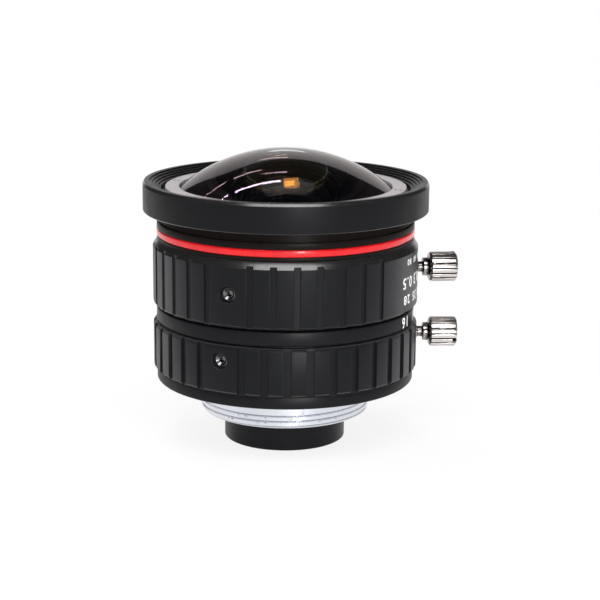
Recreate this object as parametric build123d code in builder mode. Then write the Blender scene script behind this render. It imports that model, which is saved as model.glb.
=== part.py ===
from build123d import *
import math
import os

# A wide-angle lens for an industrial camera, with a one-inch screw mount and a domed front glass.
# Sizes are in millimetres. The origin is on the optical axis, in the seat that meets the camera,
# and +Z points out through the front glass. Azimuths are in degrees from +X, anticlockwise from the front.

# Clearances
screwed = 0.02        # radial gap of pieces that are screwed or pushed together
running = 0.05        # radial gap of pieces that turn or slide on each other
pivot_play = 0.04     # radial gap of a blade pin in its hole
end_play = 0.05       # gap along the axis between a turning piece and its stop
air = 0.1             # gap of pieces that pass each other without touching

# Camera mount
thread_radius = 12.7
thread_length = 4.0
thread_chamfer = 0.35
mount_wall = 1.7
shoulder_width = 1.7
shoulder_height = 0.9
spigot_step = 0.3
spigot_length = 1.75

# Rear flange, the black lip above the mount
flange_height = 1.78
flange_chamfer = 0.2
web_thickness = 1.5
web_width = 1.55
flange_screw_radius = 0.8
flange_screw_head = 1.45
flange_screw_length = 2.9
flange_screw_angle = 30.0
countersink_taper = 45.0

# Rear cell
cell_radius = 9.15
cell_reach = 8.53
cell_chamfer = 0.15
cell_wall = 1.6
cell_shoulder_gap = 0.4
cell_shoulder_height = 0.75
cell_lip = 0.75
cell_lip_height = 1.15

# Barrel
barrel_drop = 0.5
tube_wall = 1.95
rear_wall = 2.95
barrel_chamfer = 0.15
barrel_web = 2.0
barrel_web_bore = 6.5

# Grip rings
grip_wall = 2.35
iris_ring_height = 7.05
iris_seam = 0.31
band_height = 2.17
focus_seam = 0.29
focus_ring_height = 9.74
ring_land = 0.8
ring_chamfer = 0.4
iris_top_chamfer = 0.3
focus_nose = 0.65
focus_nose_height = 1.0
groove_count = 37
hole_land = 0.3
sector_angle = 120.0
sector_count = 3
iris_groove_width = 1.24
iris_groove_depth = 0.42
focus_groove_width = 0.97
focus_groove_depth = 0.25
focus_screw_angle = -114.4
iris_screw_angle = -118.1
panel_start = 73.0
panel_end = 141.0

# Screws of the rings
ring_screw_radius = 1.0
ring_screw_gap = 0.12
screw_recess_radius = 1.25
screw_recess_depth = 0.6
grub_socket_radius = 0.5
grub_socket_depth = 0.8
grub_socket_sides = 6
focus_screw_rise = 4.8
iris_screw_rise = 4.85
screw_neck_radius = 0.8
screw_neck_length = 1.05
screw_collar_radius = 1.38
screw_collar_length = 0.9
knob_radius = 2.28
knob_length = 4.2
knob_chamfer = 0.3
flute_count = 18
flute_radius = 0.24
flute_sides = 4
knob_slot_width = 0.6
knob_slot_depth = 0.7
focus_slot_turn = 90.0
iris_slot_turn = 24.5

# Focus movement
focus_turn = 90.0
focus_travel = 0.5
cam_pin_radius = 0.7
cam_pin_depth = 1.2
cam_pin_rise = 2.05
cam_pin_angle = -56.0
cam_depth = 1.0
cam_overrun = 3.5
stop_ring_height = 0.9
focus_lip_wall = 0.55

# Iris movement
blade_count = 6
iris_turn = 60.0
blade_turn = 18.0
open_radius = 5.5
blade_edge = 0.1
blade_width = 4.2
blade_thickness = 0.06
blade_slope = 0.1
blade_pad_radius = 1.0
blade_pin_radius = 0.4
blade_inset = 2.7
blade_span = 105.0
blade_air = 0.2
drive_ring_height = 1.0
drive_ring_bore = 6.4
drive_pin_radius = 0.45
drive_pin_depth = 1.3
drive_pin_angle = 95.0
window_spare = 1.0
plate_thickness = 0.85

# Front barrel
slider_rise = 1.6
skirt_drop = 0.81
skirt_gap = 0.2
front_seam = 0.12
front_flange_height = 0.54
accent_height = 1.09
accent_stand = 0.1
accent_depth = 0.75
accent_round = 0.25
collar_height = 0.98
collar_stand = 0.05
neck_height = 1.51
neck_depth = 0.4
cup_ledge = 0.3
cup_height = 2.77

# Bell
bell_overhang = 2.75
bell_height = 4.42
bell_rim_width = 0.75
bell_chamfer = 0.25
bell_chamfer_height = 0.45
bell_step_count = 4
bell_flare_depth = 1.05
bell_base_chamfer = 0.15

# Front glass and the ring that holds it
dome_rim = 0.6
dome_height = 5.75
dome_step = 0.9
front_edge_height = 2.55
front_hollow_radius = 9.4
front_centre_thickness = 1.2
cup_wall = 0.6
front_ring_width = 2.1
front_ring_gap = 0.1
front_ring_height = 1.2
front_ring_seat = 0.4
front_ring_chamfer = 0.12
spanner_hole_radius = 0.3
spanner_hole_depth = 0.5
spanner_hole_spacing = 0.75
spanner_angle = -13.0

# Inner front glasses, from the front to the iris
second_radius = 11.0
second_edge = 3.2
third_radius = 9.0
third_edge = 2.6
fourth_radius = 7.5
fourth_edge = 2.9
glass_rim = 1.0
fourth_seat_lip = 0.7
fourth_seat_height = 1.0
middle_spacer_height = 0.9
front_spacer_height = 1.5
spacer_wall = 0.8
inner_ring_height = 1.1

# Curves of the glasses, as shares of the space or the edge beside each of them
strong_curve = 0.6
medium_curve = 0.4
slight_curve = 0.2

# Rear glasses, from the iris to the camera
rear_first_edge = 1.9
rear_crown_edge = 1.3
rear_flint_edge = 1.6
rear_last_edge = 2.0
rear_spacer_height = 1.1
rear_ring_height = 1.0
rear_ring_slot = 0.8

# Heights that follow from these sizes
flange_bottom = shoulder_height
flange_top = flange_bottom + flange_height
spigot_top = spigot_length + shoulder_height
web_top = spigot_top + web_thickness
iris_ring_bottom = flange_top + end_play
iris_ring_top = iris_ring_bottom + iris_ring_height
band_bottom = iris_ring_top + iris_seam
band_top = band_bottom + band_height
focus_ring_bottom = band_top + focus_seam
focus_ring_top = focus_ring_bottom + focus_ring_height
nose_bottom = focus_ring_top - focus_nose_height

# Radii that follow from these sizes, from the mount thread outwards
mount_bore = thread_radius - mount_wall
shoulder_radius = thread_radius + shoulder_width
spigot_radius = thread_radius + spigot_step
cell_shoulder_radius = mount_bore - cell_shoulder_gap
rear_glass_radius = cell_radius - cell_wall - screwed
iris_bore = spigot_radius + web_width
iris_disc_radius = iris_bore - running
blade_pitch_radius = iris_disc_radius - blade_inset
tube_radius = iris_bore + rear_wall
tube_bore = tube_radius - tube_wall
slider_radius = tube_bore - running
ring_bore = tube_radius + running
ring_radius = ring_bore + grip_wall
barrel_radius = ring_radius - barrel_drop
focus_nose_radius = ring_radius - focus_nose
focus_lip_bore = focus_nose_radius - focus_lip_wall
stop_ring_radius = focus_lip_bore - running
skirt_radius = focus_lip_bore - skirt_gap
front_flange_radius = focus_nose_radius
accent_radius = front_flange_radius + accent_stand
collar_radius = front_flange_radius + collar_stand
neck_radius = collar_radius - neck_depth
cup_radius = neck_radius - cup_ledge
bell_radius = cup_radius + bell_overhang
front_ring_radius = cup_radius - cup_wall
front_ring_bore = front_ring_radius - front_ring_width
dome_radius = front_ring_bore - front_ring_gap
front_edge_radius = dome_radius + dome_rim


def at_angle(radius, angle, height=0.0):
    """Point at a radius and an azimuth, at a height."""
    turn = math.radians(angle)
    return (radius * math.cos(turn), radius * math.sin(turn), height)


def outward(angle, radius, height):
    """Plane square to a radius of the lens, facing outwards, with its local Y along the axis."""
    return Plane(
        origin=at_angle(radius, angle, height),
        x_dir=at_angle(1, angle + 90),
        z_dir=at_angle(1, angle),
    )


def turned(*corners):
    """Closed section through (radius, height) corners, ready to be revolved about the axis."""
    with BuildSketch(Plane.XZ) as section:
        with BuildLine():
            Polyline(*corners, close=True)
        make_face()
    return section.sketch


def plain_ring(inner, outer, bottom, top):
    """Rectangular section of a ring."""
    return turned((inner, bottom), (outer, bottom), (outer, top), (inner, top))


def lens_section(edge_radius, bottom, top, lower, upper):
    """Half section of a glass; lower and upper are (clear radius, height on the axis)."""
    with BuildSketch(Plane.XZ) as section:
        with BuildLine():
            TangentArc((0, lower[1]), (lower[0], bottom), tangent=(1, 0))
            Polyline((lower[0], bottom), (edge_radius, bottom), (edge_radius, top), (upper[0], top))
            TangentArc((0, upper[1]), (upper[0], top), tangent=(1, 0))
            Line((0, lower[1]), (0, upper[1]))
        make_face()
    return section.sketch


def save(piece, name):
    """Label a finished piece and write it to its own file."""
    piece.label = name
    export_step(piece, f"parts/{name}.step")


os.makedirs("parts", exist_ok=True)

# Mount ring, the bright screw mount that goes into the camera
with BuildPart() as mount_ring:
    revolve(turned(
        (mount_bore, -thread_length),
        (thread_radius, -thread_length),
        (thread_radius, 0),
        (shoulder_radius, 0),
        (shoulder_radius, shoulder_height),
        (spigot_radius, shoulder_height),
        (spigot_radius, spigot_top),
        (mount_bore, spigot_top),
    ), axis=Axis.Z)
    thread_end = mount_ring.edges().group_by(Axis.Z)[0].sort_by(SortBy.RADIUS)[-1]
    chamfer(thread_end, thread_chamfer)
save(mount_ring.part, "mount_ring")

# Rear flange, screwed to the barrel from behind
screw_circle = (iris_bore + tube_radius) / 2
flange_screw_places = PolarLocations(screw_circle, sector_count, start_angle=flange_screw_angle)
head_height = flange_screw_head - flange_screw_radius
with BuildPart() as rear_flange:
    revolve(turned(
        (spigot_radius + screwed, flange_bottom),
        (barrel_radius, flange_bottom),
        (barrel_radius, flange_top),
        (iris_bore - screwed, flange_top),
        (iris_bore - screwed, web_top),
        (cell_radius + screwed, web_top),
        (cell_radius + screwed, spigot_top),
        (spigot_radius + screwed, spigot_top),
    ), axis=Axis.Z)
    flange_rim = rear_flange.edges().group_by(Axis.Z)[0].sort_by(SortBy.RADIUS)[-1]
    chamfer(flange_rim, flange_chamfer)
    with BuildSketch(Plane.XY.offset(flange_bottom)):
        with flange_screw_places:
            Circle(flange_screw_radius + screwed)
    extrude(amount=flange_height, mode=Mode.SUBTRACT)
    with BuildSketch(Plane.XY.offset(flange_bottom)):
        with flange_screw_places:
            Circle(flange_screw_head + screwed)
    extrude(amount=head_height, taper=countersink_taper, mode=Mode.SUBTRACT)
save(rear_flange.part, "rear_flange")

# Countersunk screws that hold the flange to the barrel
with BuildPart() as flange_screws:
    with BuildSketch(Plane.XY.offset(flange_bottom)):
        with flange_screw_places:
            Circle(flange_screw_radius)
    extrude(amount=flange_screw_length)
    with BuildSketch(Plane.XY.offset(flange_bottom)):
        with flange_screw_places:
            Circle(flange_screw_head)
    extrude(amount=head_height, taper=countersink_taper)
save(flange_screws.part, "flange_screws")

# Rear cell, the black tube that reaches into the camera with the rear glasses
cell_bore = cell_radius - cell_wall
cell_seat = web_top - cell_lip_height
shoulder_bottom = spigot_top - cell_shoulder_height
with BuildPart() as rear_cell:
    revolve(turned(
        (cell_bore, -cell_reach),
        (cell_radius, -cell_reach),
        (cell_radius, shoulder_bottom),
        (cell_shoulder_radius, shoulder_bottom),
        (cell_shoulder_radius, spigot_top),
        (cell_radius, spigot_top),
        (cell_radius, web_top),
        (cell_bore - cell_lip, web_top),
        (cell_bore - cell_lip, cell_seat),
        (cell_bore, cell_seat),
    ), axis=Axis.Z)
    chamfer(rear_cell.edges().group_by(Axis.Z)[0].sort_by(SortBy.RADIUS)[-1], cell_chamfer)
save(rear_cell.part, "rear_cell")

# Rear glasses, stacked down from the lip of the rear cell
rear_clear = rear_glass_radius - glass_rim
first_bottom = cell_seat - rear_first_edge
with BuildPart() as rear_first_glass:
    revolve(lens_section(
        rear_glass_radius, first_bottom, cell_seat,
        (rear_clear, first_bottom - rear_spacer_height * strong_curve),
        (rear_clear - cell_lip, cell_seat + cell_lip_height * strong_curve),
    ), axis=Axis.Z)
save(rear_first_glass.part, "rear_first_glass")

upper_spacer_bottom = first_bottom - rear_spacer_height
with BuildPart() as rear_upper_spacer:
    revolve(plain_ring(rear_clear, rear_glass_radius, upper_spacer_bottom, first_bottom), axis=Axis.Z)
save(rear_upper_spacer.part, "rear_upper_spacer")

crown_bottom = upper_spacer_bottom - rear_crown_edge
cement_height = crown_bottom - rear_flint_edge * strong_curve
with BuildPart() as rear_crown_glass:
    revolve(lens_section(
        rear_glass_radius, crown_bottom, upper_spacer_bottom,
        (rear_clear, cement_height),
        (rear_clear, upper_spacer_bottom + rear_spacer_height * slight_curve),
    ), axis=Axis.Z)
save(rear_crown_glass.part, "rear_crown_glass")

flint_bottom = crown_bottom - rear_flint_edge
with BuildPart() as rear_flint_glass:
    revolve(lens_section(
        rear_glass_radius, flint_bottom, crown_bottom,
        (rear_clear, flint_bottom - rear_spacer_height * slight_curve),
        (rear_clear, cement_height),
    ), axis=Axis.Z)
save(rear_flint_glass.part, "rear_flint_glass")

lower_spacer_bottom = flint_bottom - rear_spacer_height
with BuildPart() as rear_lower_spacer:
    revolve(plain_ring(rear_clear, rear_glass_radius, lower_spacer_bottom, flint_bottom), axis=Axis.Z)
save(rear_lower_spacer.part, "rear_lower_spacer")

last_bottom = lower_spacer_bottom - rear_last_edge
with BuildPart() as rear_last_glass:
    revolve(lens_section(
        rear_glass_radius, last_bottom, lower_spacer_bottom,
        (rear_clear, last_bottom - rear_ring_height * medium_curve),
        (rear_clear, lower_spacer_bottom + rear_spacer_height * medium_curve),
    ), axis=Axis.Z)
save(rear_last_glass.part, "rear_last_glass")

rear_ring_bottom = last_bottom - rear_ring_height
with BuildPart() as rear_retaining_ring:
    revolve(plain_ring(rear_clear, rear_glass_radius, rear_ring_bottom, last_bottom), axis=Axis.Z)
    with BuildSketch(Plane.XY.offset(rear_ring_bottom)):
        Rectangle(2 * cell_radius, rear_ring_slot)
    extrude(amount=rear_ring_height / 2, mode=Mode.SUBTRACT)
save(rear_retaining_ring.part, "rear_retaining_ring")

# Levels of the iris, from the drive ring on the flange web up to the base plate under the barrel web
drive_ring_bottom = web_top + end_play
drive_ring_top = drive_ring_bottom + drive_ring_height
drive_pin_height = drive_ring_bottom + drive_ring_height / 2
blade_chord = 2 * blade_pitch_radius * math.sin(math.radians(blade_span / 2))
blade_low = drive_ring_top + blade_air
blade_high = blade_low + blade_slope * blade_chord
plate_bottom = blade_high + blade_slope * blade_pad_radius + blade_air
barrel_web_bottom = plate_bottom + plate_thickness
barrel_web_top = barrel_web_bottom + barrel_web

# Barrel, the fixed body: a tube inside both grip rings, with the scale band between them
tube_top = focus_ring_top - skirt_drop
screw_hole_depth = flange_screw_length - flange_height + air
with BuildPart() as main_barrel:
    revolve(turned(
        (iris_bore, flange_top),
        (tube_radius, flange_top),
        (tube_radius, band_bottom),
        (barrel_radius, band_bottom),
        (barrel_radius, band_top),
        (tube_radius, band_top),
        (tube_radius, tube_top),
        (tube_bore, tube_top),
        (tube_bore, barrel_web_top),
        (barrel_web_bore, barrel_web_top),
        (barrel_web_bore, barrel_web_bottom),
        (iris_bore, barrel_web_bottom),
    ), axis=Axis.Z)
    band_edges = main_barrel.edges().filter_by(GeomType.CIRCLE).group_by(SortBy.RADIUS)[-1]
    chamfer(band_edges, barrel_chamfer)
    with BuildSketch(Plane.XY.offset(flange_top)):
        with flange_screw_places:
            Circle(flange_screw_radius + screwed)
    extrude(amount=screw_hole_depth, mode=Mode.SUBTRACT)
    window_half = drive_pin_radius + air
    window_margin = math.degrees(window_half / tube_bore) + window_spare
    with BuildSketch(Plane.XZ) as window_section:
        with Locations(((iris_bore + tube_radius) / 2, drive_pin_height)):
            Rectangle(rear_wall + 2 * air, 2 * window_half)
    window_start = window_section.sketch.rotate(Axis.Z, drive_pin_angle - window_margin)
    revolve(window_start, axis=Axis.Z, revolution_arc=iris_turn + 2 * window_margin, mode=Mode.SUBTRACT)
    cam_low = band_top + cam_pin_rise
    cam_slot_middle = cam_low + focus_travel / 2
    for sector in range(sector_count):
        with BuildSketch(outward(cam_pin_angle + sector * sector_angle, tube_bore - air, cam_slot_middle)):
            SlotCenterToCenter(focus_travel, 2 * (cam_pin_radius + running), rotation=90)
        extrude(amount=tube_wall + 2 * air, mode=Mode.SUBTRACT)
save(main_barrel.part, "main_barrel")

# Stop ring, screwed on the end of the barrel tube to keep the focus ring on
stop_ring_bottom = tube_top - stop_ring_height
with BuildPart() as focus_stop_ring:
    revolve(plain_ring(tube_radius + screwed, stop_ring_radius, stop_ring_bottom, tube_top), axis=Axis.Z)
save(focus_stop_ring.part, "focus_stop_ring")


def groove_angles(first_hole, groove_width):
    """Azimuths of the grip grooves, evenly spaced from the first screw hole, with none across a hole."""
    hole_clearance = math.degrees((screw_recess_radius + groove_width / 2 + hole_land) / ring_radius)
    angles = []
    for index in range(groove_count):
        turn = index * 360 / groove_count
        nearest_hole = round(turn / sector_angle) * sector_angle
        if abs(turn - nearest_hole) > hole_clearance:
            angles.append(first_hole + turn)
    return angles


def groove_places(angles):
    """Places of the groove cutters on the rim of a grip ring."""
    return [Location(at_angle(ring_radius, angle), angle) for angle in angles]


# Iris ring, the lower grip ring
iris_screw_height = iris_ring_bottom + iris_screw_rise
with BuildPart() as iris_ring:
    revolve(turned(
        (ring_bore, iris_ring_bottom),
        (ring_radius, iris_ring_bottom),
        (ring_radius, iris_ring_top),
        (ring_bore + ring_land, iris_ring_top),
        (ring_bore + ring_land, band_bottom - end_play),
        (ring_bore, band_bottom - end_play),
    ), axis=Axis.Z)
    rim_edges = iris_ring.edges().filter_by(GeomType.CIRCLE).group_by(SortBy.RADIUS)[-1].sort_by(Axis.Z)
    chamfer(rim_edges[0], ring_chamfer)
    chamfer(rim_edges[-1], iris_top_chamfer)
    with BuildSketch(Plane.XY.offset(iris_ring_bottom)):
        with Locations(*groove_places(groove_angles(iris_screw_angle, iris_groove_width))):
            Rectangle(2 * iris_groove_depth, iris_groove_width)
    extrude(amount=iris_ring_height, mode=Mode.SUBTRACT)
    for sector in range(sector_count):
        hole_angle = iris_screw_angle + sector * sector_angle
        with BuildSketch(outward(hole_angle, ring_bore - air, iris_screw_height)):
            Circle(ring_screw_radius + running)
        extrude(amount=ring_radius, mode=Mode.SUBTRACT)
        with BuildSketch(outward(hole_angle, ring_radius - screw_recess_depth, iris_screw_height)):
            Circle(screw_recess_radius)
        extrude(amount=ring_radius, mode=Mode.SUBTRACT)
    with BuildSketch(outward(drive_pin_angle, ring_bore - air, drive_pin_height)):
        Circle(drive_pin_radius + screwed)
    extrude(amount=drive_pin_depth + air, mode=Mode.SUBTRACT)
save(iris_ring.part, "iris_ring")

# Iris drive pin, from the iris ring through the barrel window into the drive ring
with BuildPart() as iris_drive_pin:
    pin_start = iris_disc_radius - drive_pin_depth
    with BuildSketch(outward(drive_pin_angle, pin_start, drive_pin_height)):
        Circle(drive_pin_radius)
    extrude(amount=ring_bore + drive_pin_depth - pin_start)
save(iris_drive_pin.part, "iris_drive_pin")


def blade_point(turn, start_radius, start_angle):
    """Where the driven pin of the first blade is, in the drive ring, when the blade has turned."""
    swing = math.radians(start_angle + turn)
    x = blade_pitch_radius + start_radius * math.cos(swing)
    y = start_radius * math.sin(swing)
    ring_turned = turn * iris_turn / blade_turn
    return at_angle(math.hypot(x, y), math.degrees(math.atan2(y, x)) - ring_turned)


# Iris drive ring, whose curved slots swing the blades
chord_angle = 90 + blade_span / 2
slot_points = [blade_point(turn, blade_chord, chord_angle)[:2] for turn in (0, blade_turn / 2, blade_turn)]
with BuildPart() as iris_drive_ring:
    revolve(plain_ring(drive_ring_bore, iris_disc_radius, drive_ring_bottom, drive_ring_top), axis=Axis.Z)
    with BuildSketch(Plane.XY.offset(drive_ring_bottom)):
        with PolarLocations(0, blade_count):
            SlotArc(ThreePointArc(*slot_points), 2 * (blade_pin_radius + 2 * pivot_play))
    extrude(amount=drive_ring_height, mode=Mode.SUBTRACT)
    with BuildSketch(Plane.XY.offset(drive_ring_bottom)):
        with Locations(Location(at_angle(iris_disc_radius, drive_pin_angle), drive_pin_angle)):
            Rectangle(2 * (drive_pin_depth + air), 2 * (drive_pin_radius + screwed))
    extrude(amount=drive_ring_height, mode=Mode.SUBTRACT)
save(iris_drive_ring.part, "iris_drive_ring")

# Iris base plate, seated under the barrel web, with a pivot hole for each blade
with BuildPart() as iris_base_plate:
    revolve(plain_ring(open_radius, iris_bore - screwed, plate_bottom, barrel_web_bottom), axis=Axis.Z)
    with BuildSketch(Plane.XY.offset(plate_bottom)):
        with PolarLocations(blade_pitch_radius, blade_count):
            Circle(blade_pin_radius + pivot_play)
    extrude(amount=plate_thickness, mode=Mode.SUBTRACT)
save(iris_base_plate.part, "iris_base_plate")

# Iris blade, a crescent that falls from its pivot to its driven pin, so that each lies over the next
inner_edge = open_radius + blade_edge
outer_edge = inner_edge + blade_width
pad_angles = (0, blade_span)
with BuildPart() as iris_blade:
    with BuildSketch(Plane.XY.offset(drive_ring_top)):
        with BuildLine():
            CenterArc((0, 0), inner_edge, 0, blade_span)
            CenterArc((0, 0), outer_edge, 0, blade_span)
            for pad_angle in pad_angles:
                Line(at_angle(inner_edge, pad_angle)[:2], at_angle(outer_edge, pad_angle)[:2])
        make_face()
        for pad_angle in pad_angles:
            pad_middle = (inner_edge + blade_pitch_radius) / 2
            with Locations(Location(at_angle(pad_middle, pad_angle), pad_angle)):
                SlotCenterToCenter(blade_pitch_radius - inner_edge, 2 * blade_pad_radius)
    extrude(amount=plate_bottom - drive_ring_top)
    slab = Plane(
        origin=(blade_pitch_radius, 0, blade_high),
        x_dir=at_angle(1, chord_angle, -blade_slope),
        z_dir=at_angle(1, chord_angle + 90),
    )
    with BuildSketch(slab):
        Rectangle(4 * blade_chord, blade_thickness)
    extrude(amount=blade_chord, both=True, mode=Mode.INTERSECT)
    with BuildSketch(Plane.XY.offset(blade_high)):
        with Locations((blade_pitch_radius, 0)):
            Circle(blade_pin_radius)
    extrude(amount=barrel_web_bottom - air - blade_high)
    with BuildSketch(Plane.XY.offset(drive_ring_bottom + air)):
        with Locations(at_angle(blade_pitch_radius, blade_span)[:2]):
            Circle(blade_pin_radius)
    extrude(amount=blade_low - drive_ring_bottom - air)
for number in range(blade_count):
    save(iris_blade.part.rotate(Axis.Z, number * 360 / blade_count), f"iris_blade_{number + 1}")

# Focus ring, the upper grip ring, with three cam grooves inside and a smooth panel for its scale
focus_screw_height = focus_ring_bottom + focus_screw_rise
cam_lead = focus_travel * 360 / focus_turn
cam_groove_height = 2 * (cam_pin_radius + running)
cam_middle = ring_bore + (cam_depth - air) / 2
cam_span = focus_turn + 2 * cam_overrun
cam_start_height = cam_low - cam_lead * cam_overrun / 360
panel_low = focus_screw_angle + panel_start
panel_high = focus_screw_angle + panel_end
focus_angles = groove_angles(focus_screw_angle, focus_groove_width)
focus_grooves = [angle for angle in focus_angles if not panel_low < angle < panel_high]
with BuildPart() as focus_ring:
    revolve(turned(
        (ring_bore, band_top + end_play),
        (ring_bore + ring_land, band_top + end_play),
        (ring_bore + ring_land, focus_ring_bottom),
        (ring_radius, focus_ring_bottom),
        (ring_radius, nose_bottom),
        (focus_nose_radius, focus_ring_top),
        (focus_lip_bore, focus_ring_top),
        (focus_lip_bore, stop_ring_bottom - end_play),
        (ring_bore, stop_ring_bottom - end_play),
    ), axis=Axis.Z)
    rim_edges = focus_ring.edges().filter_by(GeomType.CIRCLE).group_by(SortBy.RADIUS)[-1].sort_by(Axis.Z)
    chamfer(rim_edges[0], ring_chamfer)
    with BuildSketch(Plane.XY.offset(focus_ring_bottom)):
        with Locations(*groove_places(focus_grooves)):
            Rectangle(2 * focus_groove_depth, focus_groove_width)
    extrude(amount=focus_ring_height, mode=Mode.SUBTRACT)
    for sector in range(sector_count):
        hole_angle = focus_screw_angle + sector * sector_angle
        with BuildSketch(outward(hole_angle, ring_bore - air, focus_screw_height)):
            Circle(ring_screw_radius + running)
        extrude(amount=ring_radius, mode=Mode.SUBTRACT)
        with BuildSketch(outward(hole_angle, ring_radius - screw_recess_depth, focus_screw_height)):
            Circle(screw_recess_radius)
        extrude(amount=ring_radius, mode=Mode.SUBTRACT)
        cam_start = cam_pin_angle + sector * sector_angle + cam_overrun
        with BuildLine() as cam_path:
            Helix(
                cam_lead, cam_lead * cam_span / 360, cam_middle,
                center=(0, 0, cam_start_height), lefthand=True,
            )
        cam_line = cam_path.line.rotate(Axis.Z, cam_start)
        with BuildSketch(Plane(cam_line @ 0, x_dir=at_angle(1, cam_start), z_dir=cam_line % 0)):
            Rectangle(cam_depth + air, cam_groove_height)
        sweep(path=cam_line, is_frenet=True, mode=Mode.SUBTRACT)
save(focus_ring.part, "focus_ring")


def grub_screws(first_hole, height):
    """Two socket grub screws in the holes of a grip ring that the lock screw leaves free."""
    inner_end = tube_radius + ring_screw_gap
    length = ring_radius - screw_recess_depth - inner_end
    with BuildPart() as screws:
        for sector in (0, 2):
            angle = first_hole + sector * sector_angle
            with BuildSketch(outward(angle, inner_end, height)):
                Circle(ring_screw_radius)
            extrude(amount=length)
            with BuildSketch(outward(angle, inner_end + length, height)):
                RegularPolygon(grub_socket_radius, grub_socket_sides)
            extrude(amount=-grub_socket_depth, mode=Mode.SUBTRACT)
    return screws.part


def lock_screw(angle, height, slot_turn):
    """Thumbscrew in a grip ring, with a fluted knob and a slot across its end."""
    neck_start = ring_radius + ring_screw_gap
    collar_start = ring_radius + screw_neck_length
    knob_start = collar_start + screw_collar_length
    with BuildPart() as screw:
        with BuildSketch(outward(angle, tube_radius + ring_screw_gap, height)):
            Circle(ring_screw_radius)
        extrude(amount=neck_start - tube_radius - ring_screw_gap)
        with BuildSketch(outward(angle, neck_start, height)):
            Circle(screw_neck_radius)
        extrude(amount=collar_start - neck_start)
        with BuildSketch(outward(angle, collar_start, height)):
            Circle(screw_collar_radius)
        extrude(amount=screw_collar_length)
        with BuildSketch(outward(angle, knob_start, height)):
            Circle(knob_radius)
        extrude(amount=knob_length)
        knob_edges = screw.edges().filter_by(GeomType.CIRCLE).group_by(SortBy.RADIUS)[-1]
        chamfer(knob_edges, knob_chamfer)
        with BuildSketch(outward(angle, knob_start, height)):
            with PolarLocations(knob_radius, flute_count):
                RegularPolygon(flute_radius, flute_sides)
        extrude(amount=knob_length, mode=Mode.SUBTRACT)
        with BuildSketch(outward(angle, knob_start + knob_length, height)):
            Rectangle(2 * knob_radius, knob_slot_width, rotation=slot_turn)
        extrude(amount=-knob_slot_depth, mode=Mode.SUBTRACT)
    return screw.part


save(grub_screws(focus_screw_angle, focus_screw_height), "focus_grub_screws")
save(grub_screws(iris_screw_angle, iris_screw_height), "iris_grub_screws")
focus_lock_angle = focus_screw_angle + sector_angle
iris_lock_angle = iris_screw_angle + sector_angle
save(lock_screw(focus_lock_angle, focus_screw_height, focus_slot_turn), "focus_lock_screw")
save(lock_screw(iris_lock_angle, iris_screw_height, iris_slot_turn), "iris_lock_screw")

# Levels and bores of the front barrel
skirt_bottom = tube_top + air
front_flange_bottom = focus_ring_top + front_seam
accent_bottom = front_flange_bottom + front_flange_height
accent_top = accent_bottom + accent_height
collar_top = accent_top + collar_height
bell_bottom = collar_top + neck_height
cup_top = bell_bottom + cup_height
bell_top = bell_bottom + bell_height
slider_bottom = barrel_web_top + slider_rise
front_ring_bottom = cup_top - front_ring_seat
front_ring_top = front_ring_bottom + front_ring_height
dome_base = front_ring_bottom + dome_step
front_seat = front_ring_bottom - front_edge_height
fourth_bottom = slider_bottom + fourth_seat_height
fourth_top = fourth_bottom + fourth_edge
third_bottom = fourth_top + middle_spacer_height
third_top = third_bottom + third_edge
second_bottom = third_top + front_spacer_height
second_top = second_bottom + second_edge
accent_seat = accent_radius - accent_depth

# Front barrel, which slides in the barrel tube and carries the front glasses
with BuildPart() as front_barrel:
    revolve(turned(
        (fourth_radius - fourth_seat_lip, slider_bottom),
        (slider_radius, slider_bottom),
        (slider_radius, skirt_bottom),
        (skirt_radius, skirt_bottom),
        (skirt_radius, front_flange_bottom),
        (front_flange_radius, front_flange_bottom),
        (front_flange_radius, accent_bottom),
        (accent_seat, accent_bottom),
        (accent_seat, accent_top),
        (collar_radius, accent_top),
        (collar_radius, collar_top),
        (neck_radius, collar_top),
        (neck_radius, bell_bottom),
        (cup_radius, bell_bottom),
        (cup_radius, cup_top),
        (front_ring_radius + screwed, cup_top),
        (front_ring_radius + screwed, front_ring_bottom),
        (front_edge_radius + screwed, front_ring_bottom),
        (front_edge_radius + screwed, front_seat),
        (second_radius + screwed, front_seat),
        (second_radius + screwed, second_bottom),
        (third_radius + screwed, second_bottom),
        (third_radius + screwed, third_bottom),
        (fourth_radius + screwed, third_bottom),
        (fourth_radius + screwed, fourth_bottom),
        (fourth_radius - fourth_seat_lip, fourth_bottom),
    ), axis=Axis.Z)
    for sector in range(sector_count):
        with BuildSketch(outward(cam_pin_angle + sector * sector_angle, slider_radius + air, cam_low)):
            Circle(cam_pin_radius + screwed)
        extrude(amount=-cam_pin_depth - air, mode=Mode.SUBTRACT)
save(front_barrel.part, "front_barrel")

# Cam pins, pushed into the front barrel, through the straight slots of the tube into the cam grooves
cam_pin_start = slider_radius - cam_pin_depth
cam_pin_end = ring_bore + cam_depth - air
with BuildPart() as cam_pins:
    for sector in range(sector_count):
        with BuildSketch(outward(cam_pin_angle + sector * sector_angle, cam_pin_start, cam_low)):
            Circle(cam_pin_radius)
        extrude(amount=cam_pin_end - cam_pin_start)
save(cam_pins.part, "cam_pins")

# Accent ring, snapped into its groove under the collar
with BuildPart() as accent_ring:
    revolve(plain_ring(accent_seat + screwed, accent_radius, accent_bottom, accent_top), axis=Axis.Z)
    accent_edges = accent_ring.edges().filter_by(GeomType.CIRCLE).group_by(SortBy.RADIUS)[-1]
    fillet(accent_edges, accent_round)
save(accent_ring.part, "accent_ring")

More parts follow.
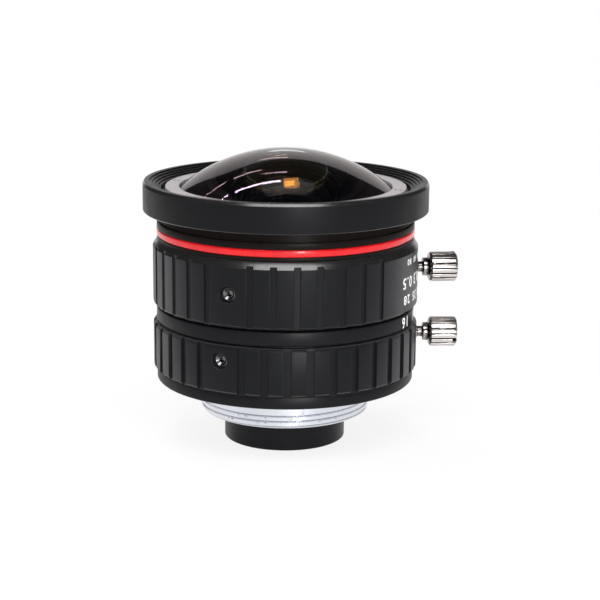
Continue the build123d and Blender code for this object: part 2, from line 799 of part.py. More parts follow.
# Bell, the wide front hood, with steps that fall from its rim to the retaining ring
rim_inner = bell_radius - bell_chamfer - bell_rim_width
bell_bore = cup_radius + screwed
step_width = (rim_inner - bell_bore) / bell_step_count
step_drop = bell_flare_depth / bell_step_count
flare = []
for step in range(bell_step_count):
    flare.append((rim_inner - step * step_width, bell_top - (step + 1) * step_drop))
    flare.append((rim_inner - (step + 1) * step_width, bell_top - (step + 1) * step_drop))
with BuildPart() as front_bell:
    revolve(turned(
        (bell_bore, bell_bottom),
        (bell_radius, bell_bottom),
        (bell_radius, bell_top - bell_chamfer_height),
        (bell_radius - bell_chamfer, bell_top),
        (rim_inner, bell_top),
        *flare,
    ), axis=Axis.Z)
    chamfer(front_bell.edges().group_by(Axis.Z)[0].sort_by(SortBy.RADIUS)[-1], bell_base_chamfer)
save(front_bell.part, "front_bell")

# Front retaining ring, screwed into the cup over the rim of the front glass
with BuildPart() as front_retaining_ring:
    revolve(plain_ring(front_ring_bore, front_ring_radius, front_ring_bottom, front_ring_top), axis=Axis.Z)
    ring_top_edges = front_retaining_ring.edges().group_by(Axis.Z)[-1]
    chamfer(ring_top_edges, front_ring_chamfer)
    spanner_middle = (front_ring_bore + front_ring_radius) / 2
    with BuildSketch(Plane.XY.offset(front_ring_top)):
        for offset in (-spanner_hole_spacing / 2, spanner_hole_spacing / 2):
            with PolarLocations(spanner_middle + offset, 2, start_angle=spanner_angle):
                Circle(spanner_hole_radius)
    extrude(amount=-spanner_hole_depth, mode=Mode.SUBTRACT)
save(front_retaining_ring.part, "front_retaining_ring")

# Front glass, a deep dome over a hollow back
dome_top = dome_base + dome_height
with BuildPart() as front_glass:
    with BuildSketch(Plane.XZ):
        with BuildLine():
            TangentArc((0, dome_top), (dome_radius, dome_base), tangent=(1, 0))
            Polyline(
                (dome_radius, dome_base),
                (dome_radius, front_ring_bottom),
                (front_edge_radius, front_ring_bottom),
                (front_edge_radius, front_seat),
                (front_hollow_radius, front_seat),
            )
            TangentArc(
                (0, dome_top - front_centre_thickness), (front_hollow_radius, front_seat), tangent=(1, 0),
            )
            Line((0, dome_top - front_centre_thickness), (0, dome_top))
        make_face()
    revolve(axis=Axis.Z)
save(front_glass.part, "front_glass")

# Second glass, held from above by a retaining ring
second_clear = second_radius - 2 * glass_rim
inner_ring_top = second_top + inner_ring_height
with BuildPart() as second_glass:
    revolve(lens_section(
        second_radius, second_bottom, second_top,
        (second_clear - glass_rim, second_top - glass_rim * medium_curve),
        (second_clear, inner_ring_top),
    ), axis=Axis.Z)
save(second_glass.part, "second_glass")

with BuildPart() as inner_retaining_ring:
    revolve(plain_ring(second_clear, second_radius, second_top, inner_ring_top), axis=Axis.Z)
save(inner_retaining_ring.part, "inner_retaining_ring")

# Third glass, between two spacers
third_clear = third_radius - 2 * glass_rim
with BuildPart() as third_glass:
    revolve(lens_section(
        third_radius, third_bottom, third_top,
        (third_clear, third_bottom + third_edge * slight_curve),
        (third_clear, third_top - third_edge * slight_curve),
    ), axis=Axis.Z)
save(third_glass.part, "third_glass")

with BuildPart() as front_spacer:
    revolve(plain_ring(third_radius - spacer_wall, third_radius, third_top, second_bottom), axis=Axis.Z)
save(front_spacer.part, "front_spacer")

# Fourth glass, on the lip at the end of the front barrel
fourth_clear = fourth_radius - glass_rim
with BuildPart() as fourth_glass:
    revolve(lens_section(
        fourth_radius, fourth_bottom, fourth_top,
        (fourth_clear, fourth_bottom - fourth_seat_height * strong_curve),
        (fourth_clear, fourth_top + middle_spacer_height * strong_curve),
    ), axis=Axis.Z)
save(fourth_glass.part, "fourth_glass")

with BuildPart() as middle_spacer:
    revolve(plain_ring(fourth_radius - spacer_wall, fourth_radius, fourth_top, third_bottom), axis=Axis.Z)
save(middle_spacer.part, "middle_spacer")
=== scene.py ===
"""A wide-angle lens with a one-inch screw mount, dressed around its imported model.

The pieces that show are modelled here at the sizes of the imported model, and stand for its nodes.
The hidden ones keep their solids and get a finish. Sizes are in millimetres, heights are above the
seat that meets the camera, and azimuths are in degrees from +X.
"""

import logging
import math
from dataclasses import dataclass
from enum import Enum
from typing import Callable, Optional, Sequence

import bmesh
import bpy
from mathutils import Matrix, Vector


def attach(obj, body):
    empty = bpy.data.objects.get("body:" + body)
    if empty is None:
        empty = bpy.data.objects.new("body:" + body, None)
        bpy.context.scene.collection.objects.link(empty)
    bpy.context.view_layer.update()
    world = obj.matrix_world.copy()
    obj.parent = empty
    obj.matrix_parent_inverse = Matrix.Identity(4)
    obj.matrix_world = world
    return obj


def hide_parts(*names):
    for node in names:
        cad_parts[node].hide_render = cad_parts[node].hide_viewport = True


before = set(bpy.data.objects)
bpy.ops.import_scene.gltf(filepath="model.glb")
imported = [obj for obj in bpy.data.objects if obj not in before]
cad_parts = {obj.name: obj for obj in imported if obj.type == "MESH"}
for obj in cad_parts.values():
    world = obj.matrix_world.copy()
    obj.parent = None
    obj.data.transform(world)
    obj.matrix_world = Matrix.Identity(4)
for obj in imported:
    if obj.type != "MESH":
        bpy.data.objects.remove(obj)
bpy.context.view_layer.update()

log = logging.getLogger("lens")

Corner = tuple[float, float]
Span = tuple[float, float]
Size = tuple[float, float, float]
Colour = tuple[float, float, float]
Piece = bpy.types.Object
Face = bpy.types.MeshPolygon
Socket = bpy.types.NodeSocket

MM = 0.001
TURN_SEGMENTS = 256
GRIP_SEGMENTS = 1440
CUT_SIDES = 48
SECTORS = 3
SECTOR_ANGLE = 120.0
AXIS_RADIUS = 1e-4
MERGE_DISTANCE = 1e-6
WALL_TOLERANCE = 0.02
CLEARANCE = 0.02
OVERCUT = 0.5
FINE_EDGE = 0.05
EDGE = 0.06
GRIP_CREASE = 35.0
BEVEL_TILT = (0.3, 0.9)
BUMP_DISTANCE = 0.00001
WHITE = (1.0, 1.0, 1.0, 1.0)


class Cut(Enum):
    """How one solid changes another."""

    REMOVE = "DIFFERENCE"
    ADD = "UNION"


class Body(Enum):
    """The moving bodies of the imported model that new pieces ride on."""

    BARREL = "barrel"
    FRONT = "front_group"
    FOCUS = "focus_grip"
    FOCUS_LOCK = "focus_lock"
    IRIS = "iris_grip"
    IRIS_LOCK = "iris_lock"


class Seen(Enum):
    """The surfaces that a soft box reaches."""

    MATT = "matt surfaces"
    GLOSS = "matt and glossy surfaces"
    GLASS = "the inside of the front glass"


def outward(azimuth: float, radius: float, height: float) -> Matrix:
    """Place of a piece made along +Z so that it points out of the lens.

    Args:
        azimuth: direction in degrees from +X.
        radius: distance from the optical axis.
        height: height above the seat.

    Returns:
        A placing whose Z points outwards and whose Y points along the optical axis.
    """
    turn = math.radians(azimuth)
    out = Vector((math.cos(turn), math.sin(turn), 0.0))
    along = Vector((-math.sin(turn), math.cos(turn), 0.0))
    up = Vector((0.0, 0.0, 1.0))
    place = Matrix((along, up, out)).transposed().to_4x4()
    place.translation = (out * radius + up * height) * MM
    return place


def upright(azimuth: float, radius: float, height: float) -> Matrix:
    """Place on a circle round the optical axis, turned like the lens itself."""
    turn = math.radians(azimuth)
    return Matrix.Translation(Vector((radius * math.cos(turn), radius * math.sin(turn), height)) * MM)


def stair(*levels: float) -> list[Corner]:
    """Corners of a path that goes along and up in turns.

    Args:
        levels: radius and height of the start, then a radius, a height and so on in turn.

    Returns:
        The start and a corner for each level after it.
    """
    corners = [(levels[0], levels[1])]
    for number, level in enumerate(levels[2:]):
        radius, height = corners[-1]
        corners.append((radius, level) if number % 2 else (level, height))
    return corners


def cap_arc(edge: Corner, apex: float, steps: int) -> list[Corner]:
    """Corners of a round cap that is level at its apex.

    Args:
        edge: radius and height where the cap ends.
        apex: height on the axis.
        steps: number of chords.

    Returns:
        Corners from the axis to the edge.
    """
    rise = apex - edge[1]
    sphere = (edge[0] ** 2 + rise**2) / (2 * rise)
    reach = math.asin(max(-1.0, min(1.0, edge[0] / sphere)))
    angles = [reach * step / steps for step in range(steps + 1)]
    return [(abs(sphere * math.sin(angle)), apex - sphere * (1 - math.cos(angle))) for angle in angles]


class Bench:
    """Modelling steps that the pieces share, done with Blender's own operators."""

    @staticmethod
    def take(*pieces: Piece) -> None:
        """Select only these pieces and make the first one active; with none, select nothing."""
        bpy.ops.object.select_all(action="DESELECT")
        for piece in pieces:
            piece.select_set(True)
        if pieces:
            bpy.context.view_layer.objects.active = pieces[0]

    @staticmethod
    def settle(name: str, place: Optional[Matrix] = None) -> Piece:
        """Name the piece that was just added and put its place in its mesh.

        Args:
            name: the piece's name.
            place: where the piece goes, if it isn't there already.

        Returns:
            The piece, with its object at the origin.
        """
        piece = bpy.context.object
        piece.name = name
        piece.data.name = name
        if place is not None:
            piece.matrix_world = place @ piece.matrix_world
        bpy.ops.object.transform_apply(location=True, rotation=True, scale=True)
        return piece

    @classmethod
    def move(cls, piece: Piece, place: Matrix) -> None:
        """Carry a finished piece to its place and leave its object at the origin."""
        cls.take(piece)
        piece.matrix_world = place
        bpy.ops.object.transform_apply(location=True, rotation=True, scale=True)

    @staticmethod
    def open_mesh() -> None:
        """Enter edit mode with everything selected."""
        bpy.ops.object.mode_set(mode="EDIT")
        bpy.ops.mesh.select_all(action="SELECT")

    @staticmethod
    def close_mesh() -> None:
        """Merge doubles, turn the normals outwards and leave edit mode."""
        bpy.ops.mesh.select_all(action="SELECT")
        bpy.ops.mesh.remove_doubles(threshold=MERGE_DISTANCE)
        bpy.ops.mesh.normals_make_consistent(inside=False)
        bpy.ops.object.mode_set(mode="OBJECT")

    @classmethod
    def turned(
        cls,
        name: str,
        corners: Sequence[Corner],
        rounding: float = 0.0,
        flats: int = 2,
        segments: int = TURN_SEGMENTS,
    ) -> Piece:
        """Turn a closed section about the optical axis, one extrusion for each corner.

        Args:
            name: the piece's name.
            corners: radius and height of each corner; a section may start and end on the axis.
            rounding: width of the rounding of its edges, if it has one.
            flats: flats across the rounding.
            segments: number of flats round the axis.

        Returns:
            The turned piece.
        """
        radius, height = max(corners[0][0], AXIS_RADIUS), corners[0][1]
        cls.take()
        bpy.ops.mesh.primitive_circle_add(vertices=segments, radius=radius * MM, location=(0, 0, height * MM))
        piece = cls.settle(name)
        path = list(corners[1:])
        if corners[0][0] > 0:
            path.append(corners[0])
        cls.open_mesh()
        for corner in path:
            next_radius = max(corner[0], AXIS_RADIUS)
            rise = (0, 0, (corner[1] - height) * MM)
            bpy.ops.mesh.extrude_region_move(TRANSFORM_OT_translate={"value": rise})
            spread = next_radius / radius
            bpy.ops.transform.resize(value=(spread, spread, 1), center_override=(0, 0, 0))
            radius, height = next_radius, corner[1]
        cls.close_mesh()
        if rounding:
            cls.soften(piece, rounding, flats)
        return piece

    @classmethod
    def band(cls, name: str, radii: Span, heights: Span, rounding: float, flats: int = 2) -> Piece:
        """Plain ring between two radii and two heights, with rounded edges."""
        outline = stair(radii[0], heights[0], radii[1], heights[1], radii[0])
        return cls.turned(name, outline, rounding, flats)

    @classmethod
    def raise_lands(
        cls, piece: Piece, floor: float, levels: dict[float, float], is_land: Callable[[float], bool]
    ) -> None:
        """Raise parts of a turned wall, so that grooves stay between them.

        Args:
            piece: a turned piece whose wall stands at the floor of the grooves.
            floor: radius of that wall.
            levels: radius of the raised wall at each height where the wall has a loop.
            is_land: tells from an azimuth whether the wall is raised there.
        """
        lowest, highest = min(levels), max(levels)
        bpy.ops.object.mode_set(mode="EDIT")
        bpy.ops.mesh.select_mode(type="FACE")
        bpy.ops.mesh.select_all(action="DESELECT")
        mesh = bmesh.from_edit_mesh(piece.data)
        for face in mesh.faces:
            middle = face.calc_center_median() / MM
            on_wall = abs(math.hypot(middle.x, middle.y) - floor) < WALL_TOLERANCE
            if on_wall and lowest < middle.z < highest:
                face.select = is_land(math.degrees(math.atan2(middle.y, middle.x)))
        bmesh.update_edit_mesh(piece.data)
        bpy.ops.mesh.extrude_region_move(TRANSFORM_OT_translate={"value": (0, 0, 0)})
        mesh = bmesh.from_edit_mesh(piece.data)
        raised = [(vertex.index, vertex.co.z / MM) for vertex in mesh.verts if vertex.select]
        bpy.ops.mesh.select_mode(type="VERT")
        for level, radius in levels.items():
            bpy.ops.mesh.select_all(action="DESELECT")
            mesh = bmesh.from_edit_mesh(piece.data)
            mesh.verts.ensure_lookup_table()
            for index, height in raised:
                if abs(height - level) < WALL_TOLERANCE:
                    mesh.verts[index].select = True
            mesh.select_flush_mode()
            bmesh.update_edit_mesh(piece.data)
            spread = radius / floor
            bpy.ops.transform.resize(value=(spread, spread, 1), center_override=(0, 0, 0))
        cls.close_mesh()

    @classmethod
    def soften(cls, piece: Piece, width: float, flats: int = 2, angle: float = 30.0) -> None:
        """Round every edge sharper than an angle.

        Args:
            piece: the piece to soften.
            width: width of the rounding.
            flats: flats across the rounding.
            angle: smallest angle in degrees that counts as an edge.
        """
        cls.take(piece)
        edges = piece.modifiers.new("edges", "BEVEL")
        edges.width = width * MM
        edges.segments = flats
        edges.limit_method = "ANGLE"
        edges.angle_limit = math.radians(angle)
        bpy.ops.object.modifier_apply(modifier=edges.name)

    @classmethod
    def carve(cls, piece: Piece, tool: Piece, cut: Cut = Cut.REMOVE) -> None:
        """Change a piece by another solid, which is then thrown away."""
        cls.take(piece)
        carving = piece.modifiers.new("carving", "BOOLEAN")
        carving.operation = cut.value
        carving.solver = "EXACT"
        carving.object = tool
        bpy.ops.object.modifier_apply(modifier=carving.name)
        bpy.data.objects.remove(tool)

    @classmethod
    def join(cls, name: str, pieces: Sequence[Piece]) -> Piece:
        """Join several solids into one named piece."""
        cls.take(*pieces)
        bpy.ops.object.join()
        joined = bpy.context.object
        joined.name = name
        joined.data.name = name
        return joined

    @classmethod
    def rod(cls, name: str, radius: float, start: float, end: float, place: Matrix, sides: int) -> Piece:
        """Round or many-sided rod along the Z of a place.

        Args:
            name: the piece's name.
            radius: radius of the rod, to its corners.
            start: where the rod starts along the place's Z.
            end: where it ends.
            place: the place that it is made in.
            sides: number of sides.

        Returns:
            The rod.
        """
        middle = (0, 0, (start + end) / 2 * MM)
        cls.take()
        bpy.ops.mesh.primitive_cylinder_add(
            vertices=sides, radius=radius * MM, depth=(end - start) * MM, location=middle
        )
        return cls.settle(name, place)

    @classmethod
    def cone(cls, name: str, ends: Span, start: float, height: float, place: Matrix) -> Piece:
        """Cone along the Z of a place, given by the radii of its ends, its start and its height."""
        middle = (0, 0, (start + height / 2) * MM)
        cls.take()
        bpy.ops.mesh.primitive_cone_add(
            vertices=CUT_SIDES, radius1=ends[0] * MM, radius2=ends[1] * MM, depth=height * MM, location=middle
        )
        return cls.settle(name, place)

    @classmethod
    def block(cls, name: str, size: Size, height: float, place: Matrix) -> Piece:
        """Rectangular tool in a place, given by its three sizes and the height of its middle."""
        cls.take()
        middle = (0, 0, height * MM)
        bpy.ops.mesh.primitive_cube_add(size=1, location=middle, scale=[part * MM for part in size])
        return cls.settle(name, place)


class Sheet:
    """A shader node tree that nodes are added to by name."""

    def __init__(self, tree: bpy.types.NodeTree) -> None:
        """Keep the tree and empty it."""
        self.tree = tree
        self.tree.nodes.clear()

    def fill(self, node: bpy.types.Node, inputs: dict) -> None:
        """Give named or numbered inputs of a node a value each, or an output to link from."""
        for key, value in inputs.items():
            if isinstance(value, bpy.types.NodeSocket):
                self.tree.links.new(value, node.inputs[key])
            else:
                node.inputs[key].default_value = value

    def add(self, kind: str, inputs: Optional[dict] = None, **settings: object) -> bpy.types.Node:
        """Add a node.

        Args:
            kind: the node's type, without the word that starts every shader node's.
            inputs: a value, or an output to link from, for each named or numbered input.
            settings: the node's own properties.

        Returns:
            The new node.
        """
        node = self.tree.nodes.new(kind if kind.startswith("Node") else "ShaderNode" + kind)
        for key, value in settings.items():
            setattr(node, key, value)
        self.fill(node, inputs or {})
        return node

    def place(self) -> Socket:
        """Coordinates of the object itself."""
        return self.add("TexCoord").outputs["Object"]

    def math(self, operation: str, *values: object) -> Socket:
        """Work out a value from numbers and outputs."""
        return self.add("Math", dict(enumerate(values)), operation=operation).outputs["Value"]

    def spread(self, value: Socket, ends: Span, to_ends: Span = (0.0, 1.0)) -> Socket:
        """Carry a value from one range to another, held at the ends."""
        ranges = {"From Min": ends[0], "From Max": ends[1], "To Min": to_ends[0], "To Max": to_ends[1]}
        return self.add("MapRange", {"Value": value, **ranges}).outputs["Result"]

    def blend(self, share: Socket, first: object, second: Colour) -> Socket:
        """Blend from a first colour, given as numbers or as an output, to a second one."""
        start = first if isinstance(first, bpy.types.NodeSocket) else (*first, 1.0)
        return self.add("Mix", {0: share, 6: start, 7: (*second, 1.0)}, data_type="RGBA").outputs[2]

    def noise(self, vector: Socket, scale: object, detail: float, distortion: float = 0.0) -> Socket:
        """Soft noise at a scale to the metre."""
        inputs = {"Vector": vector, "Scale": scale, "Detail": detail, "Distortion": distortion}
        return self.add("TexNoise", inputs).outputs["Fac"]

    def bump(self, height: Socket, strength: float, **under: Socket) -> Socket:
        """Normal of fine relief, on top of another one where that is given."""
        inputs = {"Height": height, "Strength": strength, "Distance": BUMP_DISTANCE, **under}
        return self.add("Bump", inputs).outputs["Normal"]

    def openness(self, reach: float) -> Socket:
        """How open the surface lies within a reach, from 0 in a corner to 1."""
        return self.add("AmbientOcclusion", {"Distance": reach}, samples=8, only_local=True).outputs["AO"]

    def effect(self, effect: "Effect", number: float) -> Socket:
        """Place a shared effect with its one number and give back its output."""
        return self.add("Group", {effect.key: number}, node_tree=effect.tree()).outputs["Value"]


def turning_lines(sheet: Sheet, scale: Socket) -> Socket:
    """Fine lines round the axis, as a lathe leaves them."""
    parts = sheet.add("SeparateXYZ", {"Vector": sheet.place()}).outputs
    flat = sheet.add("CombineXYZ", {"X": parts["X"], "Y": parts["Y"]}).outputs["Vector"]
    radius = sheet.add("VectorMath", {0: flat}, operation="LENGTH").outputs["Value"]
    section = sheet.add("CombineXYZ", {"X": radius, "Z": parts["Z"]}).outputs["Vector"]
    return sheet.noise(section, scale, 3.0)


def fine_grain(sheet: Sheet, scale: Socket) -> Socket:
    """Even grain in all directions, as etching and anodising leave it."""
    return sheet.noise(sheet.place(), scale, 5.0)


def handling(sheet: Sheet, scale: Socket) -> Socket:
    """Soft patches where fingers have been, from 0 to 1."""
    return sheet.spread(sheet.noise(sheet.place(), scale, 4.0, 0.6), (0.4, 0.72))


def worn_edges(sheet: Sheet, radius: Socket) -> Socket:
    """Edges that rub bare first, from 0 to 1."""
    rounded = sheet.add("Bevel", {"Radius": radius}, samples=4).outputs["Normal"]
    own = sheet.add("NewGeometry").outputs["Normal"]
    same = sheet.add("VectorMath", {0: rounded, 1: own}, operation="DOT_PRODUCT").outputs["Value"]
    bend = sheet.math("SUBTRACT", 1.0, same)
    patchy = sheet.noise(sheet.place(), 1800.0, 3.0)
    return sheet.spread(sheet.math("MULTIPLY", bend, patchy), (0.02, 0.16))


class Effect(Enum):
    """Node groups that several finishes share: the name, the number that each takes, and its nodes."""

    LINES = ("turning lines", "Scale", turning_lines)
    GRAIN = ("fine grain", "Scale", fine_grain)
    HANDLING = ("handling", "Scale", handling)
    WORN = ("worn edges", "Radius", worn_edges)

    @property
    def key(self) -> str:
        """Name of the group's one input."""
        return self.value[1]

    def tree(self) -> bpy.types.NodeTree:
        """Build the group, or find it if it is built already."""
        name, key, nodes = self.value
        found = bpy.data.node_groups.get(name)
        if found:
            return found
        tree = bpy.data.node_groups.new(name, "ShaderNodeTree")
        tree.interface.new_socket(name=key, in_out="INPUT", socket_type="NodeSocketFloat")
        tree.interface.new_socket(name="Value", in_out="OUTPUT", socket_type="NodeSocketFloat")
        sheet = Sheet(tree)
        entry = sheet.add("NodeGroupInput").outputs[key]
        sheet.add("NodeGroupOutput", {"Value": nodes(sheet, entry)})
        return tree


@dataclass(frozen=True)
class Finish:
    """What every finish has: its name, the record's slot, its colour and its roughness."""

    name: str
    slot: str
    colour: Colour
    roughness: float

    def build(self) -> bpy.types.Material:
        """Make the finish's material, or find it if it is made already."""
        found = bpy.data.materials.get(self.name)
        if found:
            return found
        material = bpy.data.materials.new(self.name)
        material.use_nodes = True
        sheet = Sheet(material.node_tree)
        base = {"Base Color": (*self.colour, 1.0), "Roughness": self.roughness}
        shader = sheet.add("BsdfPrincipled", {**base, **self.dress(sheet)})
        sheet.add("OutputMaterial", {"Surface": shader.outputs["BSDF"]})
        return material

    def dress(self, sheet: Sheet) -> dict:
        """The shader's inputs that make this kind of finish; the plain kind has handling marks."""
        return {"Roughness": self.handled(sheet, 0.1)}

    def handled(self, sheet: Sheet, amount: float, scale: float = 220.0) -> Socket:
        """Roughness that differs where the piece was handled.

        Args:
            sheet: the material's nodes.
            amount: how much rougher the patches are.
            scale: patches to the metre.

        Returns:
            The roughness.
        """
        patches = sheet.effect(Effect.HANDLING, scale)
        return sheet.spread(patches, (0.0, 1.0), (self.roughness, self.roughness + amount))


@dataclass(frozen=True)
class Anodised(Finish):
    """Dyed and sealed aluminium with lathe lines, fine grain, edges that rub lighter and, where set, a
    painted sheen at low angles.
    """

    worn: Colour = (0.16, 0.16, 0.165)
    wear: float = 0.15
    specular: float = 0.12
    line_depth: float = 0.25
    # strength of the painted sheen that pales the colour at low angles; 0 leaves it out
    painted_sheen: float = 0.0

    def dress(self, sheet: Sheet) -> dict:
        """Add worn edges, handled patches, lathe lines, grain and, where set, the painted sheen."""
        edges = sheet.effect(Effect.WORN, 0.00009)
        colour = sheet.blend(sheet.math("MULTIPLY", edges, self.wear), self.colour, self.worn)
        if self.painted_sheen:
            colour = self.add_painted_sheen(sheet, colour)
        grain = sheet.bump(sheet.effect(Effect.GRAIN, 14000.0), 0.12)
        return {
            "Specular IOR Level": self.specular,
            "Base Color": colour,
            "Roughness": self.handled(sheet, 0.08),
            "Normal": sheet.bump(sheet.effect(Effect.LINES, 9000.0), self.line_depth, Normal=grain),
        }

    def add_painted_sheen(self, sheet: Sheet, colour: Socket) -> Socket:
        """Paint a pale sheen into the colour of open faces seen at a low angle, kept out of the grooves so
        that they stay dark as if shaded.
        """
        facing = sheet.add("LayerWeight", {"Blend": 0.5}).outputs["Facing"]
        capped = sheet.math("MINIMUM", sheet.math("POWER", facing, 3.3), 0.16)
        mask = sheet.spread(sheet.openness(0.0006), (0.82, 0.98))
        share = sheet.math("MULTIPLY", capped, mask)
        # the pale grey blended in here is painted sheen, not a colour of the anodising
        return sheet.blend(sheet.math("MULTIPLY", share, self.painted_sheen), colour, (0.5, 0.5, 0.52))


@dataclass(frozen=True)
class Lacquered(Finish):
    """Glossy coloured surface under a clear coat."""

    coat: float = 0.6
    specular: float = 0.2
    deep_share: float = 0.8

    def dress(self, sheet: Sheet) -> dict:
        """Add the clear coat, a slight change of tone and fine lines under it."""
        deep = tuple(part * self.deep_share for part in self.colour)
        return {
            "Coat Weight": self.coat,
            "Coat Roughness": 0.08,
            "Specular IOR Level": self.specular,
            "Base Color": sheet.blend(sheet.effect(Effect.HANDLING, 320.0), self.colour, deep),
            "Roughness": self.handled(sheet, 0.08),
            "Normal": sheet.bump(sheet.effect(Effect.LINES, 7000.0), 0.15),
        }


@dataclass(frozen=True)
class Plated(Finish):
    """Plated or bare metal with lathe lines and painted shade that darkens its recesses."""

    # dark is the colour of painted shade, laid where occlusion within the recess reach finds a hollow
    dark: Colour = (0.12, 0.11, 0.1)
    recess: float = 0.0003
    shade_depths: Span = (0.25, 0.85)

    def dress(self, sheet: Sheet) -> dict:
        """Add metal, painted shade in the recesses, handled patches and lathe lines."""
        # painted shade: the colour turns to the dark colour where ambient occlusion finds a recess
        depth = sheet.spread(sheet.openness(self.recess), self.shade_depths)
        return {
            "Metallic": 1.0,
            "Base Color": sheet.blend(depth, self.dark, self.colour),
            "Roughness": self.handled(sheet, 0.1),
            "Normal": sheet.bump(sheet.effect(Effect.LINES, 6000.0), 0.35),
        }


@dataclass(frozen=True)
class Coated(Finish):
    """Polished glass with a thin anti-reflection coating."""

    film: float = 0.0
    refraction: float = 1.6

    def dress(self, sheet: Sheet) -> dict:
        """Add transmission, the coating and the faintest wiping marks."""
        return {
            "Transmission Weight": 1.0,
            "IOR": self.refraction,
            "Thin Film Thickness": self.film,
            "Thin Film IOR": 1.38,
            "Roughness": self.handled(sheet, 0.005, 160.0),
        }


class Finishes:
    """Every finish of the lens."""

    CLEAR = (1.0, 1.0, 1.0)
    # near-black that plated finishes paint into their recesses as shade
    SHADE_BLACK = (0.01, 0.01, 0.01)
    BLACK = Anodised("black anodised", "black_anodised", (0.0058, 0.0061, 0.0073), 0.36, wear=0.35)
    # the grip alone gets the painted sheen at low angles
    GRIP = Anodised("black anodised grip", "black_anodised", (0.0062, 0.0066, 0.0078), 0.36, painted_sheen=0.55)
    BELL = Anodised(
        "black anodised hood", "black_anodised", (0.0055, 0.0058, 0.0067), 0.36, wear=0.35, specular=0.11
    )
    CUT_EDGE = Anodised("black anodised edge", "black_anodised", (0.009, 0.009, 0.0095), 0.22, specular=0.65)
    NECK = Anodised("black anodised neck", "black_anodised", (0.0085, 0.0065, 0.006), 0.34, specular=0.05)
    MATT = Anodised("matt black", "matt_black", (0.002, 0.002, 0.002), 0.6, wear=0.05, line_depth=0.5)
    # the ring's grey is partly its own tone and partly a painted reflection of the white surroundings that
    # its top mirrors at a low angle
    GREY = Anodised(
        "grey with painted reflection", "grey_anodised", (0.345, 0.345, 0.35), 0.45,
        worn=(0.6, 0.6, 0.6), wear=0.3, specular=0.4,
    )
    RED = Lacquered("red anodised", "red_accent", (0.62, 0.004, 0.008), 0.25)
    # the mount's dark colour paints shade into its thread grooves
    MOUNT = Plated(
        "nickel-plated mount", "plated_mount", (0.72, 0.74, 0.79), 0.24,
        dark=(0.58, 0.59, 0.62), recess=0.00015,
    )
    # the thumbscrew's dark colour paints shade into its flutes and slot
    NICKEL = Plated(
        "nickel-plated screw", "nickel_screw", (0.68, 0.635, 0.615), 0.2,
        dark=(0.02, 0.018, 0.018), recess=0.0007, shade_depths=(0.68, 1.0),
    )
    DULL_NICKEL = Plated(
        "nickel-plated neck", "nickel_screw", (0.4, 0.37, 0.36), 0.2, SHADE_BLACK, recess=0.0008, shade_depths=(0.7, 1.0)
    )
    BRASS = Plated("turned brass", "pin_brass", (0.75, 0.55, 0.25), 0.3)
    DARK_STEEL = Plated("blackened steel", "black_steel", (0.09, 0.09, 0.1), 0.35, SHADE_BLACK)
    # the grub screw's near-black dark colour paints shade into its dish and socket
    GRUB_STEEL = Plated("steel grub screw", "black_steel", (0.17, 0.17, 0.175), 0.24, (0.004, 0.004, 0.004))
    BLADE = Plated("blackened blade", "blade_steel", (0.05, 0.05, 0.055), 0.45, SHADE_BLACK)
    FRONT_GLASS = Coated("coated front glass", "coated_glass", CLEAR, 0.0, 124.0)
    HOLLOW = Coated("coated hollow", "coated_glass", CLEAR, 0.0, 386.0)
    REAR_GLASS = Coated("coated rear glass", "coated_glass", CLEAR, 0.0, 126.0)
    INNER_GLASS = Coated("coated inner glass", "inner_glass", (0.98, 1.0, 0.99), 0.0, refraction=1.22)
    PRINT = Finish("white print", "black_anodised", (0.8, 0.8, 0.8), 0.45)


def finish_piece(piece: Piece, finish: Finish, body: Body, *nodes: str, smooth: float = 28.0) -> None:
    """Give a piece its shading, its finish, its body and the nodes that it stands for.

    Args:
        piece: the finished mesh.
        finish: what it is finished in.
        body: the body that it moves with.
        nodes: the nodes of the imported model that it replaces.
        smooth: largest angle in degrees that is shaded smooth, or 0 for flat shading.
    """
    if smooth:
        Bench.take(piece)
        bpy.ops.object.shade_smooth_by_angle(angle=math.radians(smooth))
    piece.data.materials.clear()
    piece.data.materials.append(finish.build())
    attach(piece, body.value)
    if nodes:
        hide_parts(*nodes)
    log.info("%s: %d faces on %s", piece.name, len(piece.data.polygons), body.value)


def finish_faces(piece: Piece, finish: Finish, chosen: Callable[[Face], bool]) -> None:
    """Finish some faces of a finished piece in one more finish.

    Args:
        piece: a piece with its first finish.
        finish: the finish that is added.
        chosen: tells which faces get it.
    """
    piece.data.materials.append(finish.build())
    added = len(piece.data.materials) - 1
    for face in piece.data.polygons:
        if chosen(face):
            face.material_index = added


def finish_bevels(piece: Piece, inner_radius: float, tilt: Span = (-1.0, 1.0)) -> None:
    """Finish the slanted faces outside a radius as a fresh cut leaves them.

    Args:
        piece: a piece with its first finish.
        inner_radius: the faces nearer to the axis than this keep the first finish.
        tilt: range of the upward tilt of the faces that change.
    """

    def is_bevel(face: Face) -> bool:
        """Tell whether a face is slanted, far enough out and tilted within the range."""
        outside = math.hypot(face.center.x, face.center.y) > inner_radius * MM
        slanted = BEVEL_TILT[0] < abs(face.normal.z) < BEVEL_TILT[1]
        return outside and slanted and tilt[0] < face.normal.z < tilt[1]

    finish_faces(piece, Finishes.CUT_EDGE, is_bevel)


